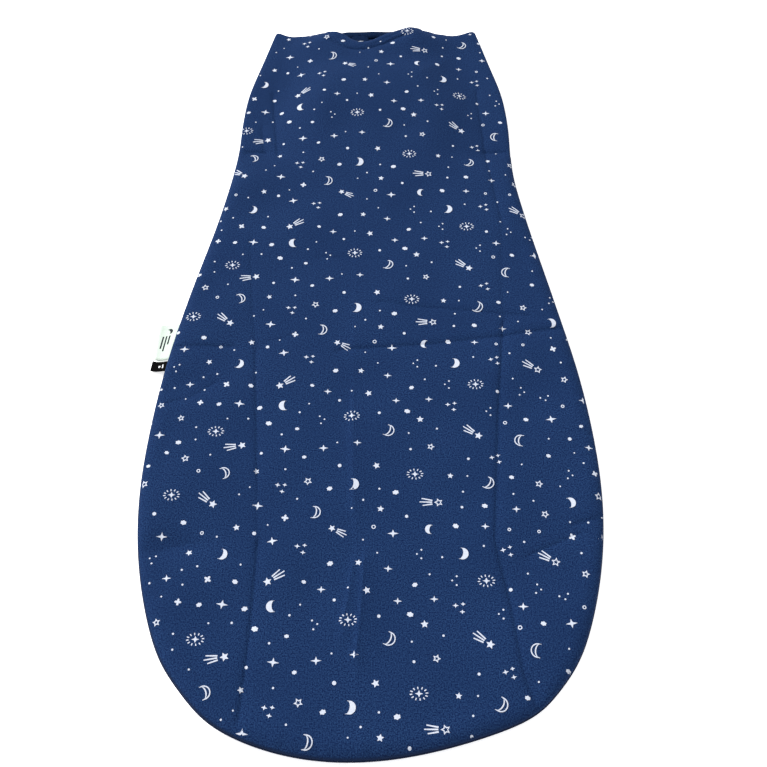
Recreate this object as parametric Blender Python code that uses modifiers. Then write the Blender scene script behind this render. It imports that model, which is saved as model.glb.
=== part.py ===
"""Baby sleeping bag: a pear-shaped swaddle bag with a two-way front zip and press-stud armholes.

The bag lies flat on its front, with its back panel up. Inside the bag's own frame the hem's lowest
point is at y = 0 and the neck is towards +Y. The front panels rest on z = 0. All sizes are metres.
"""
import math

import bmesh
import bpy
from mathutils import Matrix, Vector

# ---- driving dimensions -------------------------------------------------------------------------
SIDE_TOP = 0.701          # shoulder tips, measured from the hem
HEM_CORNER_Y = 0.036      # where the round hem turns into the sides
HEM_CORNER_X = 0.120
HEM_BOWL = 2.15           # the hem's curve is this times the distance from the middle squared
HEM_TILT = 0.062          # the hem hangs a little lower on the label side
WIDTHS = [                # distance from the hem, half of the laid-flat width
    (0.036, 0.1200), (0.065, 0.1420), (0.110, 0.1590), (0.160, 0.1690), (0.215, 0.1715),
    (0.290, 0.1655), (0.370, 0.1515), (0.465, 0.1335), (0.535, 0.1235), (0.575, 0.1225),
    (0.615, 0.1190), (0.660, 0.1085), (0.701, 0.0990),
]
BACK_SCOOP = 0.032        # depth of the neckline at the back
FRONT_LIFT = 0.014        # the front neck edge reaches past the shoulder tips
NECK_HALF = 0.047         # half of the neck opening

OUTER_T = 0.0014          # outer jersey
LINING_T = 0.0010         # inner jersey
BODY_H = 0.0135           # height of the closed bag over its middle
NECK_RISE = 0.0095        # the back layer stands higher at the neck
DOME = 0.0015
EDGE_ROLL = 0.022         # the back layer rounds down to the side seam over this width
BACK_EDGE_Z = 0.0075
FRONT_EDGE_Z = 0.0040
LAYER_DROP = 0.0025       # outer surface to lining surface
LINING_INSET = 0.0045
MARGIN_Z = 0.0107         # height of the back layer over the press studs
MARGIN_EDGE_Z = 0.0087
MARGIN_WIDTH = 0.024

ZIP_X = -0.0145           # the zip lies a little to the label side of the middle
ZIP_LOW = 0.068
ZIP_HIGH = 0.684
ZIP_GAP = 0.0070          # from the zip's middle to the edge of a front panel
ZIP_LIFT = 0.0030         # the front panels rise this much along the zip
ZIP_Z = 0.0050            # height of the tapes and the teeth
BAND_WIDTH = 0.010

FOLD_X = 0.092            # fold line of the armhole flaps
FOLD_Z = 0.0120           # their axis, just over the cloth at the fold
FLAP_LOW = 0.538
FLAP_HIGH = 0.672
STUD_YS = (0.568, 0.607, 0.646)
STUD_INSET = 0.0125
STUD_R = 0.0045
CLEAR = 0.0004            # gap between neighbouring pieces

SLIDER_UPPER_Y = 0.674
SLIDER_LOWER_Y = 0.098

ROWS = [0.0, 0.004, 0.013, 0.030, 0.065, 0.11, 0.17, 0.24, 0.32, 0.40, 0.48, 0.56, 0.64,
        0.70, 0.745, 0.785, 0.83, 0.88, 0.92, 0.96, 1.0]
EDGE_STEPS = [0.0, 0.015, 0.05, 0.12, 0.22, 0.34, 0.44, 0.49, 0.54, 0.66, 0.82]


# ---- collections, materials and small helpers ---------------------------------------------------
def clear_scene():
    for old in list(bpy.data.objects):
        bpy.data.objects.remove(old, do_unlink=True)


def new_collection(name):
    collection = bpy.data.collections.new(name)
    bpy.context.scene.collection.children.link(collection)
    return collection


clear_scene()
PARTS = new_collection("baby_sleeping_bag")
CUTTERS = new_collection("cutters")


def material(name, colour, roughness, metallic=0.0):
    found = bpy.data.materials.get(name)
    if found:
        return found
    made = bpy.data.materials.new(name)
    made.use_nodes = True
    shader = made.node_tree.nodes["Principled BSDF"]
    shader.inputs["Base Color"].default_value = (*colour, 1.0)
    shader.inputs["Roughness"].default_value = roughness
    shader.inputs["Metallic"].default_value = metallic
    made.diffuse_color = (*colour, 1.0)
    return made


NAVY = ("navy_jersey", (0.019, 0.045, 0.135), 0.9)
NAVY_BAND = ("navy_rib", (0.016, 0.038, 0.115), 0.9)
LINING = ("lining_jersey", (0.017, 0.040, 0.120), 0.92)
THREAD = ("navy_thread", (0.012, 0.028, 0.090), 0.8)
TAPE = ("zip_tape", (0.012, 0.026, 0.080), 0.85)
TEETH = ("zip_teeth", (0.016, 0.034, 0.100), 0.5)
METAL = ("slider_enamel", (0.020, 0.042, 0.120), 0.35, 0.6)
STUD = ("stud_resin", (0.80, 0.82, 0.84), 0.4)
WHITE_LABEL = ("white_label", (0.78, 0.86, 0.82), 0.7)
BLACK_LABEL = ("black_label", (0.012, 0.012, 0.014), 0.7)
TAN_LABEL = ("tan_label", (0.23, 0.10, 0.06), 0.7)
CARE_LABEL = ("care_label_satin", (0.82, 0.82, 0.80), 0.45)


def finish(obj, paint, collection=PARTS):
    if obj.name not in collection.objects:
        collection.objects.link(obj)
    if paint:
        obj.data.materials.append(material(*paint))
    return obj


def as_cutter(obj):
    obj.hide_render = True
    obj.display_type = "WIRE"
    return obj


def mix(a, b, t):
    return a + (b - a) * t


def smooth(t):
    t = min(1.0, max(0.0, t))
    return t * t * (3.0 - 2.0 * t)


def rounding(t):
    """Quarter-round profile, 0 at the edge and 1 where the surface is flat."""
    t = min(1.0, max(0.0, t))
    return math.sqrt(1.0 - (1.0 - t) ** 2)


# ---- the bag's outline and its surfaces ---------------------------------------------------------
def half_width(y):
    """Half width at a height, on a smooth curve through WIDTHS."""
    points = WIDTHS
    if y <= points[0][0]:
        return points[0][1]
    if y >= points[-1][0]:
        return points[-1][1]
    i = max(k for k in range(len(points) - 1) if points[k][0] <= y)
    slopes = []
    for k in (i, i + 1):
        low = points[max(k - 1, 0)]
        high = points[min(k + 1, len(points) - 1)]
        slopes.append((high[1] - low[1]) / (high[0] - low[0]))
    (y0, w0), (y1, w1) = points[i], points[i + 1]
    span = y1 - y0
    t = (y - y0) / span
    return (w0 * (1 + 2 * t) * (1 - t) ** 2 + slopes[0] * span * t * (1 - t) ** 2
            + w1 * t * t * (3 - 2 * t) + slopes[1] * span * t * t * (t - 1))


def hem_y(s):
    """The hem's curve for s from -1 to 1 between its two corners."""
    x = s * HEM_CORNER_X
    bowl = HEM_BOWL * x * x + (HEM_CORNER_Y - HEM_BOWL * HEM_CORNER_X ** 2) * s ** 8
    return bowl + HEM_TILT * x * (1.0 - s * s)


def neck_drop(x, front):
    """How far the top edge lies below or above the shoulder tips."""
    inside = 1.0 - smooth((abs(x) - 0.030) / 0.025)
    if front:
        return FRONT_LIFT * inside
    return -BACK_SCOOP * inside


def row_y(s, t, x, front, top_cut):
    y = mix(HEM_CORNER_Y, SIDE_TOP, t)
    y += (hem_y(s) - HEM_CORNER_Y) * (1.0 - t) ** 3
    at_neck = 1.0 - smooth((abs(x) - NECK_HALF - 0.004) / 0.006)
    y += (neck_drop(x, front) - top_cut * at_neck) * t ** 8
    return y


def back_height(x, y, width, from_hem):
    side = width - abs(x)
    full = BODY_H + NECK_RISE * smooth((y - 0.45) / 0.20) + DOME * (1.0 - (x / width) ** 2)
    rolled = mix(BACK_EDGE_Z, full, rounding(side / EDGE_ROLL) * rounding(from_hem / EDGE_ROLL))
    margin = mix(MARGIN_EDGE_Z, MARGIN_Z, rounding(side / 0.006))
    margin += (full - MARGIN_Z) * smooth((side - MARGIN_WIDTH) / 0.040)
    z = mix(rolled, margin, smooth((y - 0.49) / 0.05))
    collar = mix(MARGIN_Z, BODY_H + NECK_RISE, 1.0 - smooth((abs(x) - 0.040) / 0.030))
    return mix(z, collar, smooth((y - 0.640) / 0.045) * smooth(side / 0.010))


def front_height(x, y, width, from_hem):
    side = width - abs(x)
    lift = mix(FRONT_EDGE_Z, 0.0012, smooth((y - 0.49) / 0.05))
    z = lift * (1.0 - rounding(side / 0.012) * rounding(from_hem / 0.012))
    near_zip = 1.0 - smooth((abs(x - ZIP_X) - 0.010) / 0.025)
    return z + ZIP_LIFT * near_zip * smooth((y - 0.025) / 0.040)


def surface(xs_of_row, front, inset, lift, top_cut):
    """Rows of points on a layer. xs_of_row gives the x of each point in a row at height y."""
    grid = []
    for t in ROWS:
        side_y = mix(HEM_CORNER_Y, SIDE_TOP, t)
        width = half_width(side_y)
        reach = width - inset
        row = []
        for x in xs_of_row(side_y, reach):
            s = x / reach
            y = row_y(s, t, x, front, top_cut)
            low = row_y(s, 0.0, s * HEM_CORNER_X, front, 0.0)
            y_in = y + inset * (1.0 - t) ** 6 * (1.0 - 0.3 * s * s)
            height = front_height if front else back_height
            z = height(x, y, width, max(0.0, y - low) + (inset * 0.5 if front else 0.0))
            drop = lift
            if inset > 0.0 and not front:
                near = min(reach - abs(x), y - low)
                rim = 1.0 - smooth(near / EDGE_ROLL)
                z = height(x + math.copysign(inset * rim, x), y, width, max(0.0, y - low))
                drop = lift * mix(rounding(near / 0.010), 1.0, smooth((y - 0.49) / 0.05))
            row.append(Vector((x, y_in, z + drop)))
        grid.append(row)
    return grid


def grid_object(name, grid, thickness, up, paint, collection=PARTS):
    """Closed shell grown from an open surface, away from its outer side."""
    bm = bmesh.new()
    verts = [[bm.verts.new(p) for p in row] for row in grid]
    for j in range(len(grid) - 1):
        for i in range(len(grid[0]) - 1):
            corners = [verts[j][i], verts[j][i + 1], verts[j + 1][i + 1], verts[j + 1][i]]
            bm.faces.new(corners if up else corners[::-1])
    mesh = bpy.data.meshes.new(name)
    bm.to_mesh(mesh)
    bm.free()
    obj = bpy.data.objects.new(name, mesh)
    shell = obj.modifiers.new("thickness", "SOLIDIFY")
    shell.thickness = thickness
    shell.offset = -1.0
    return finish(obj, paint, collection)


def across_back(side_y, reach):
    left = [-reach * (1.0 - e) for e in EDGE_STEPS]
    return left + [0.0] + [-x for x in reversed(left)]


def zip_edge(y, gap):
    """Distance from the zip's middle to a front layer's edge: closed below the zip."""
    return mix(CLEAR, gap, smooth((y - ZIP_LOW + 0.014) / 0.008))


def across_front(sign, gap):
    def xs(side_y, reach):
        inner = ZIP_X + sign * zip_edge(side_y, gap)
        near = [inner + sign * step for step in (0.0, 0.006, 0.016, 0.030, 0.045, 0.058)]
        span = sign * reach - near[-1]
        rest = [near[-1] + span * (1.0 - e) for e in (0.5, 0.28, 0.13, 0.05, 0.015, 0.0)]
        line = near + rest
        return line if sign > 0 else line[::-1]
    return xs


# ---- solids made of blocks ----------------------------------------------------------------------
def block(name, low, high, paint=None, bevel=0.0, collection=PARTS):
    bm = bmesh.new()
    bmesh.ops.create_cube(bm, size=1.0)
    size = [b - a for a, b in zip(low, high)]
    middle = [(a + b) / 2 for a, b in zip(low, high)]
    bmesh.ops.scale(bm, vec=size, verts=bm.verts)
    bmesh.ops.translate(bm, vec=middle, verts=bm.verts)
    mesh = bpy.data.meshes.new(name)
    bm.to_mesh(mesh)
    bm.free()
    obj = bpy.data.objects.new(name, mesh)
    if bevel:
        rounded = obj.modifiers.new("edges", "BEVEL")
        rounded.width = bevel
        rounded.segments = 2
    return finish(obj, paint, collection)


def boolean(obj, tool, operation):
    cut = obj.modifiers.new(f"{operation.lower()}_{tool.name}", "BOOLEAN")
    cut.operation = operation
    cut.object = tool
    cut.solver = "EXACT"


def set_origin(obj, point):
    obj.data.transform(Matrix.Translation(-Vector(point)))
    obj.location = point


def turned(name, profile, segments=20):
    """Mesh turned about Z from a closed list of (radius, z), outer side from top to bottom."""
    mesh = bpy.data.meshes.new(name + "_profile")
    verts = [(r, 0.0, z) for r, z in profile]
    mesh.from_pydata(verts, [(i, i + 1) for i in range(len(verts) - 1)], [])
    obj = bpy.data.objects.new(name + "_profile", mesh)
    CUTTERS.objects.link(obj)
    screw = obj.modifiers.new("turn", "SCREW")
    screw.steps = segments
    screw.render_steps = segments
    screw.use_merge_vertices = True
    screw.merge_threshold = 0.00002
    shape = bpy.data.meshes.new_from_object(obj.evaluated_get(bpy.context.evaluated_depsgraph_get()))
    bpy.data.objects.remove(obj, do_unlink=True)
    return shape


def copy_of(name, shape, place, paint):
    """One node placed at a point, sharing its mesh with its equals."""
    obj = bpy.data.objects.new(name, shape)
    obj.location = place
    if shape.materials:
        paint = None
    return finish(obj, paint)


# ---- panels and linings -------------------------------------------------------------------------
def side_cutter(name, sign, x_from, low, high):
    ends = sorted((sign * x_from, sign * 0.2))
    return as_cutter(block(name, (ends[0], low, -0.01), (ends[1], high, 0.06), collection=CUTTERS))


def make_back():
    outer = surface(across_back, False, 0.0, 0.0, BAND_WIDTH + 0.0012)
    panel = grid_object("back_outer_panel", outer, OUTER_T, True, NAVY)
    lining_grid = surface(across_back, False, LINING_INSET, -LAYER_DROP, BAND_WIDTH + 0.002)
    for row in lining_grid[-1:]:
        for point in row:
            point.y -= 0.008 * smooth((abs(point.x) - NECK_HALF) / 0.004)
    lining = grid_object("back_lining", lining_grid, LINING_T, True, LINING)
    for side, sign in (("left", -1), ("right", 1)):
        wide = side_cutter(f"flap_cutter_{side}", sign, FOLD_X, FLAP_LOW, FLAP_HIGH)
        boolean(panel, wide, "DIFFERENCE")
        lining_cut = side_cutter(f"lining_cutter_{side}", sign, FOLD_X - 0.004,
                                 FLAP_LOW - 0.004, FLAP_HIGH + 0.05)
        boolean(lining, lining_cut, "DIFFERENCE")
        narrow = side_cutter(f"flap_shape_{side}", sign, FOLD_X + CLEAR,
                             FLAP_LOW + CLEAR, FLAP_HIGH - CLEAR)
        flap = grid_object(f"arm_flap_{side}", outer, OUTER_T, True, NAVY)
        boolean(flap, narrow, "INTERSECT")
        set_origin(flap, (sign * FOLD_X, (FLAP_LOW + FLAP_HIGH) / 2, FOLD_Z))


def make_fronts():
    for side, sign in (("left", -1), ("right", 1)):
        outer = surface(across_front(sign, ZIP_GAP), True, 0.0, 0.0, BAND_WIDTH + 0.0012)
        grid_object(f"front_{side}_outer_panel", outer, OUTER_T, False, NAVY)
        inner = surface(across_front(sign, 0.0165), True, LINING_INSET, 0.0022, BAND_WIDTH + 0.002)
        for point in inner[-1]:
            point.y -= 0.008 * smooth((abs(point.x) - NECK_HALF) / 0.004)
        grid_object(f"front_{side}_lining", inner, LINING_T, False, LINING)


# ---- bands, seams and facings -------------------------------------------------------------------
def top_line(x, front):
    """The finished top edge at x."""
    return SIDE_TOP + neck_drop(x, front)


def band_grid(xs, front, base_of):
    grid = []
    for j in range(4):
        part = j / 3
        row = []
        for x in xs:
            y = top_line(x, front) - BAND_WIDTH * (1.0 - part) + CLEAR * (1.0 - part)
            row.append(Vector((x, y, base_of(x, y))))
        grid.append(row)
    return grid


def spread(low, high, count):
    return [mix(low, high, i / (count - 1)) for i in range(count)]


def make_neck_bands():
    def back_base(x, y):
        return back_height(x, y, half_width(y), 1.0) + 0.0003

    def front_base(x, y):
        return front_height(x, y, half_width(y), 1.0)

    xs = spread(-NECK_HALF, NECK_HALF, 15)
    grid_object("back_neck_band", band_grid(xs, False, back_base), 0.0022, True, NAVY_BAND)
    for side, sign in (("left", -1), ("right", 1)):
        ends = sorted((ZIP_X + sign * 0.0090, sign * NECK_HALF))
        xs = spread(ends[0], ends[1], 9)
        grid = band_grid(xs, True, front_base)
        grid_object(f"front_{side}_neck_band", grid, 0.0022, False, NAVY_BAND)


def outline_point(u, inset):
    """A point on the closed edge, u from -1 (left underarm) through 0 (hem) to 1 (right underarm)."""
    sign = -1.0 if u < 0 else 1.0
    a = abs(u)
    hem_part = 0.22
    if a < hem_part:
        s = sign * a / hem_part
        x = s * (HEM_CORNER_X - inset * 0.8)
        return Vector((x, hem_y(s) + inset * (1.0 - 0.25 * s * s), 0.0))
    y = mix(HEM_CORNER_Y, FLAP_LOW - 0.004, (a - hem_part) / (1.0 - hem_part))
    near_corner = 1.0 - smooth((y - HEM_CORNER_Y) / 0.08)
    x = sign * (half_width(y) - inset * (1.0 - 0.2 * near_corner))
    return Vector((x, y + inset * 0.75 * near_corner, 0.0))


def make_edge_seam():
    us = spread(-1.0, 1.0, 89)
    rows = []
    for inset in (0.0002, 0.0034):
        row = [outline_point(u, inset) + Vector((0.0, 0.0, 0.0061)) for u in us]
        rows.append(row)
    grid_object("hem_and_side_seam", rows, 0.0008, True, THREAD)


def tube(name, points, radius, paint):
    curve = bpy.data.curves.new(name, "CURVE")
    curve.dimensions = "3D"
    curve.bevel_depth = radius
    curve.bevel_resolution = 2
    curve.use_fill_caps = True
    spline = curve.splines.new("POLY")
    spline.points.add(len(points) - 1)
    for target, point in zip(spline.points, points):
        target.co = (*point, 1.0)
    return finish(bpy.data.objects.new(name, curve), paint)


def make_shoulder_seams():
    for side, sign in (("left", -1), ("right", 1)):
        xs = spread(NECK_HALF + 0.006, half_width(SIDE_TOP) - 0.005, 6)
        points = [(sign * x, SIDE_TOP - 0.004, 0.0056) for x in xs]
        tube(f"shoulder_seam_{side}", points, 0.0016, THREAD)


def facing_grid(sign, low, high, z, inner_x):
    grid = []
    for y in spread(low, high, 7):
        outer_x = half_width(y) - 0.0066
        row = [Vector((sign * x, y, z)) for x in (inner_x, mix(inner_x, outer_x, 0.5), outer_x)]
        grid.append(row if sign > 0 else row[::-1])
    return grid


def make_arm_facings():
    for side, sign in (("left", -1), ("right", 1)):
        hinge = (sign * FOLD_X, (FLAP_LOW + FLAP_HIGH) / 2, FOLD_Z)
        grid = facing_grid(sign, FLAP_LOW + 0.002, FLAP_HIGH - 0.002, 0.0089, FOLD_X + 0.0022)
        facing = grid_object(f"flap_facing_{side}", grid, 0.0008, True, LINING)
        set_origin(facing, hinge)
        grid = facing_grid(sign, FLAP_LOW + 0.002, FLAP_HIGH - 0.002, 0.0045, FOLD_X - 0.002)
        grid_object(f"arm_facing_{side}", grid, 0.0008, True, LINING)


def make_studs():
    post = turned("post", [(0.0, 0.0071), (0.0014, 0.0071), (0.0018, 0.0067), (0.0016, 0.0056),
                           (0.0034, 0.0055), (STUD_R, 0.0053), (STUD_R, 0.0048), (0.0, 0.0048)])
    socket = turned("socket", [(0.0, 0.0078), (0.0038, 0.0078), (STUD_R, 0.0075), (STUD_R, 0.0062),
                               (0.0040, 0.0058), (0.0026, 0.0058), (0.0025, 0.0074), (0.0, 0.0074)])
    for side, sign in (("left", -1), ("right", 1)):
        for number, y in enumerate(STUD_YS, 1):
            place = Vector((sign * (half_width(y) - STUD_INSET), y, 0.0))
            copy_of(f"stud_post_{side}_{number}", post, place, STUD)
            copy_of(f"stud_socket_{side}_{number}", socket, place, STUD)


# ---- the two-way zip ----------------------------------------------------------------------------
def make_zip_rows():
    for side, sign in (("left", -1), ("right", 1)):
        ends = sorted((ZIP_X + sign * 0.0034, ZIP_X + sign * 0.0150))
        block(f"zip_tape_{side}", (ends[0], ZIP_LOW - 0.004, ZIP_Z - 0.0002),
              (ends[1], ZIP_HIGH + 0.003, ZIP_Z + 0.0003), TAPE)
        ends = sorted((ZIP_X + sign * 0.0009, ZIP_X + sign * 0.0030))
        block(f"zip_teeth_{side}", (ends[0], ZIP_LOW, ZIP_Z - 0.0010),
              (ends[1], ZIP_HIGH, ZIP_Z + 0.0010), TEETH, bevel=0.0003)


def make_stops():
    low = ZIP_HIGH + CLEAR
    for side, sign in (("left", -1), ("right", 1)):
        ends = sorted((ZIP_X + sign * 0.0007, ZIP_X + sign * 0.0031))
        block(f"zip_top_stop_{side}", (ends[0], low, ZIP_Z - 0.0012),
              (ends[1], low + 0.0022, ZIP_Z + 0.0012), METAL, bevel=0.0003)
    block("zip_bottom_stop", (ZIP_X - 0.0031, ZIP_LOW - CLEAR - 0.0026, ZIP_Z - 0.0012),
          (ZIP_X + 0.0031, ZIP_LOW - CLEAR, ZIP_Z + 0.0012), METAL, bevel=0.0003)


def slider_plate(name, low_z, high_z, flip):
    """A slider's wing: wide at the open end and narrow at the closed end."""
    wide = 0.0054
    narrow = 0.0042
    half = 0.0062
    outline = [(-narrow, -half), (narrow, -half), (wide, 0.0), (wide, half - 0.001),
               (wide - 0.001, half), (-wide + 0.001, half), (-wide, half - 0.001), (-wide, 0.0)]
    if flip:
        outline = [(-x, -y) for x, y in outline]
    bm = bmesh.new()
    base = [bm.verts.new((x, y, low_z)) for x, y in outline]
    top = [bm.verts.new((x, y, high_z)) for x, y in outline]
    count = len(outline)
    bm.faces.new(base[::-1])
    bm.faces.new(top)
    for i in range(count):
        k = (i + 1) % count
        bm.faces.new([base[i], base[k], top[k], top[i]])
    mesh = bpy.data.meshes.new(name)
    bm.to_mesh(mesh)
    bm.free()
    obj = bpy.data.objects.new(name, mesh)
    rounded = obj.modifiers.new("edges", "BEVEL")
    rounded.width = 0.00025
    rounded.segments = 2
    return obj


PIVOT_Z = 0.0018          # the pull turns about this height, inside the slider's bridge


def make_slider(name, y, flip):
    """Two wings joined by a neck, with a bridge for the pull on the outer wing."""
    at = Vector((ZIP_X, y, 0.0))
    body = finish(slider_plate(name, ZIP_Z - 0.0022, ZIP_Z - 0.0013, flip), METAL)
    wing = finish(slider_plate(f"{name}_inner_wing", ZIP_Z + 0.0013, ZIP_Z + 0.0021, flip),
                  None, CUTTERS)
    turn = -1.0 if flip else 1.0
    neck_ends = sorted((turn * 0.0022, turn * 0.0058))
    tools = [wing]
    tools.append(block(f"{name}_neck", (-0.0005, neck_ends[0], ZIP_Z - 0.0015),
                       (0.0005, neck_ends[1], ZIP_Z + 0.0015), collection=CUTTERS))
    for end, where in (("low", -0.0022), ("high", 0.0022)):
        tools.append(block(f"{name}_leg_{end}", (-0.0008, where - 0.0004, 0.0006),
                           (0.0008, where + 0.0004, ZIP_Z - 0.0020), collection=CUTTERS))
    tools.append(block(f"{name}_bridge", (-0.00085, -0.0027, 0.0004), (0.00085, 0.0027, 0.0010),
                       collection=CUTTERS))
    for tool in tools:
        as_cutter(tool)
        tool.location = at
        boolean(body, tool, "UNION")
    body.location = at


def make_pull(name, y):
    """A flat tab with an eye round the bridge, lying towards the hem."""
    tab = block(name, (-0.0031, -0.0290, -0.0005), (0.0031, 0.0005, 0.0005), METAL, bevel=0.0002)
    eye = as_cutter(block(f"{name}_eye", (-0.0015, -0.0048, -0.002), (0.0015, -0.0005, 0.002),
                          collection=CUTTERS))
    slot = as_cutter(block(f"{name}_slot", (-0.0015, -0.0270, -0.002), (0.0015, -0.0210, 0.002),
                           collection=CUTTERS))
    place = Vector((ZIP_X, y, PIVOT_Z))
    tab.location = place
    for tool in (eye, slot):
        tool.location = place
        boolean(tab, tool, "DIFFERENCE")


def make_zip():
    make_zip_rows()
    make_stops()
    for name, y, flip in (("upper", SLIDER_UPPER_Y, False), ("lower", SLIDER_LOWER_Y, True)):
        make_slider(f"zip_slider_{name}", y, flip)
        make_pull(f"zip_pull_{name}", y)
    guard = [[Vector((ZIP_X + dx, y, 0.0088)) for dx in (-0.016, 0.0, 0.016)]
             for y in spread(ZIP_LOW - 0.003, ZIP_HIGH + 0.003, 9)]
    grid_object("zip_guard", guard, 0.0007, True, LINING)
    low = ZIP_HIGH + 0.0045
    block("chin_guard", (ZIP_X - 0.0064, low, ZIP_LIFT + 0.0002),
          (ZIP_X + 0.0064, SIDE_TOP + FRONT_LIFT - 0.0005, ZIP_LIFT + 0.0042), NAVY_BAND, bevel=0.0008)


# ---- labels -------------------------------------------------------------------------------------
def edge_label(name, y_low, y_high, reach, slant, drop, thickness, paint):
    """A label sewn in the left side seam, sloping down to the surface outside the bag."""
    grid = []
    for y in spread(y_low, y_high, 5):
        start = -half_width(y) - CLEAR
        row = []
        for part in (1.0, 0.66, 0.33, 0.0):
            sink = drop * part * part
            row.append(Vector((start - reach * part, y - slant * part, 0.0064 - sink)))
        grid.append(row)
    grid_object(name, grid, thickness, True, paint)


def make_labels():
    edge_label("side_label", 0.3065, 0.3400, 0.0110, 0.0070, 0.0042, 0.0010, WHITE_LABEL)
    edge_label("size_tag", 0.2965, 0.3056, 0.0125, 0.0080, 0.0046, 0.0008, BLACK_LABEL)
    top = top_line(0.0, False) - BAND_WIDTH - 0.001
    z = back_height(0.0, top, half_width(top), 1.0) - LAYER_DROP - LINING_T - 0.0006
    rows = [[Vector((x, top - back, z - 0.02 * back)) for x in (-0.014, 0.0, 0.014)]
            for back in (0.022, 0.011, 0.0)]
    grid_object("neck_label", rows, 0.0006, True, TAN_LABEL)
    edge = -half_width(0.20) + 0.014
    rows = [[Vector((edge + dx, y, 0.0058)) for dx in (0.0, 0.012, 0.024)]
            for y in (0.185, 0.200, 0.215)]
    grid_object("care_label", rows, 0.0008, True, CARE_LABEL)


# ---- assembly -----------------------------------------------------------------------------------
def centre_on_origin():
    """Hang everything on one empty so that the object's box stands centred on the origin."""
    bpy.context.view_layer.update()
    graph = bpy.context.evaluated_depsgraph_get()
    low = Vector((9.0, 9.0, 9.0))
    high = -low
    for obj in PARTS.objects:
        mesh = obj.evaluated_get(graph).to_mesh()
        for vertex in mesh.vertices:
            place = obj.matrix_world @ vertex.co
            low = Vector(map(min, low, place))
            high = Vector(map(max, high, place))
        obj.evaluated_get(graph).to_mesh_clear()
    frame = bpy.data.objects.new("bag_frame", None)
    PARTS.objects.link(frame)
    frame.location = (-(low.x + high.x) / 2, -(low.y + high.y) / 2, -low.z)
    for obj in list(PARTS.objects) + list(CUTTERS.objects):
        if obj is not frame:
            obj.parent = frame


make_back()
make_fronts()
make_neck_bands()
make_edge_seam()
make_shoulder_seams()
make_arm_facings()
make_studs()
make_zip()
make_labels()
centre_on_origin()
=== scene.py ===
"""Looks of the baby sleeping bag: printed jersey covers, linings, seams, zip and labels on the CAD frame."""
import math
import random

import bpy
import numpy as np
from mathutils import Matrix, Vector, geometry, kdtree
from mathutils.bvhtree import BVHTree


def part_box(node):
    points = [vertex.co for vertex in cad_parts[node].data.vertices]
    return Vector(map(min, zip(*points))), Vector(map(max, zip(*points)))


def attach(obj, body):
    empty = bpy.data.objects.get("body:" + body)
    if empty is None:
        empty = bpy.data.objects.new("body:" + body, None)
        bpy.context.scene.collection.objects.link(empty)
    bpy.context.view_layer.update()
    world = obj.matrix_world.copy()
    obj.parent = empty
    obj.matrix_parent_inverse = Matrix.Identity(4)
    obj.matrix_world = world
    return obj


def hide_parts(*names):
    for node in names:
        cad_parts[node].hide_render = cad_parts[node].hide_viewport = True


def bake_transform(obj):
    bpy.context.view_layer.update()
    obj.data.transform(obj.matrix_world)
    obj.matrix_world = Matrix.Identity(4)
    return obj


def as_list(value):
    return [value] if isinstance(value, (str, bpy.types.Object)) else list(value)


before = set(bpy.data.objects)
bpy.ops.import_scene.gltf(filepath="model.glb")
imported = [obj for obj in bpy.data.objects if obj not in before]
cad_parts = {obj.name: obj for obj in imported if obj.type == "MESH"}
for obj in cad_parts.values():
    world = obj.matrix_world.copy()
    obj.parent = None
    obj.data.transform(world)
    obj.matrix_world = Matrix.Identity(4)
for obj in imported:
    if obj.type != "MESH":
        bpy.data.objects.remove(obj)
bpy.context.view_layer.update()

# ---- the bag's own measures, the same as the CAD's ----
SIDE_TOP = 0.701
HEM_CORNER_Y = 0.036
HEM_CORNER_X = 0.120
HEM_BOWL = 2.15
HEM_TILT = 0.062
WIDTHS = [                # distance from the hem, half of the laid-flat width
    (0.036, 0.1200), (0.065, 0.1420), (0.110, 0.1590), (0.160, 0.1690), (0.215, 0.1715),
    (0.290, 0.1655), (0.370, 0.1515), (0.465, 0.1335), (0.535, 0.1235), (0.575, 0.1225),
    (0.615, 0.1190), (0.660, 0.1085), (0.701, 0.0990),
]
NECK_HALF = 0.050
BODY_H = 0.0135
NECK_RISE = 0.0095
DOME = 0.0015
EDGE_ROLL = 0.011
BACK_EDGE_Z = 0.0080
FRONT_EDGE_Z = 0.0040
ARM_FRONT_Z = 0.0014
MARGIN_Z = 0.0107
MARGIN_EDGE_Z = 0.0087
MARGIN_WIDTH = 0.024
ZIP_X = -0.0145
ZIP_LOW = 0.068
ZIP_HIGH = 0.684
ZIP_GAP = 0.0070
ZIP_LIFT = 0.0030
ZIP_Z = 0.0050
FOLD_X = 0.092
FLAP_LOW = 0.538
FLAP_HIGH = 0.672
PANEL_T = 0.0012
LINING_T = 0.0009
SIDES = (("left", -1), ("right", 1))
STEP = 0.0024             # mesh size of the outer covers
COARSE = 0.0060           # mesh size of the linings

teeth_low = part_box("zip_teeth_left")[0]
stop_low, stop_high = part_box("zip_bottom_stop")
SHIFT = np.array([(stop_low.x + stop_high.x) / 2 - ZIP_X, teeth_low.y - ZIP_LOW, 0.0])


# ---- small numeric helpers ----
def mix(a, b, t):
    return a + (b - a) * t


def smooth(t):
    t = np.clip(t, 0.0, 1.0)
    return t * t * (3.0 - 2.0 * t)


def rounding(t):
    t = np.clip(t, 0.0, 1.0)
    return np.sqrt(1.0 - (1.0 - t) ** 2)


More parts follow.
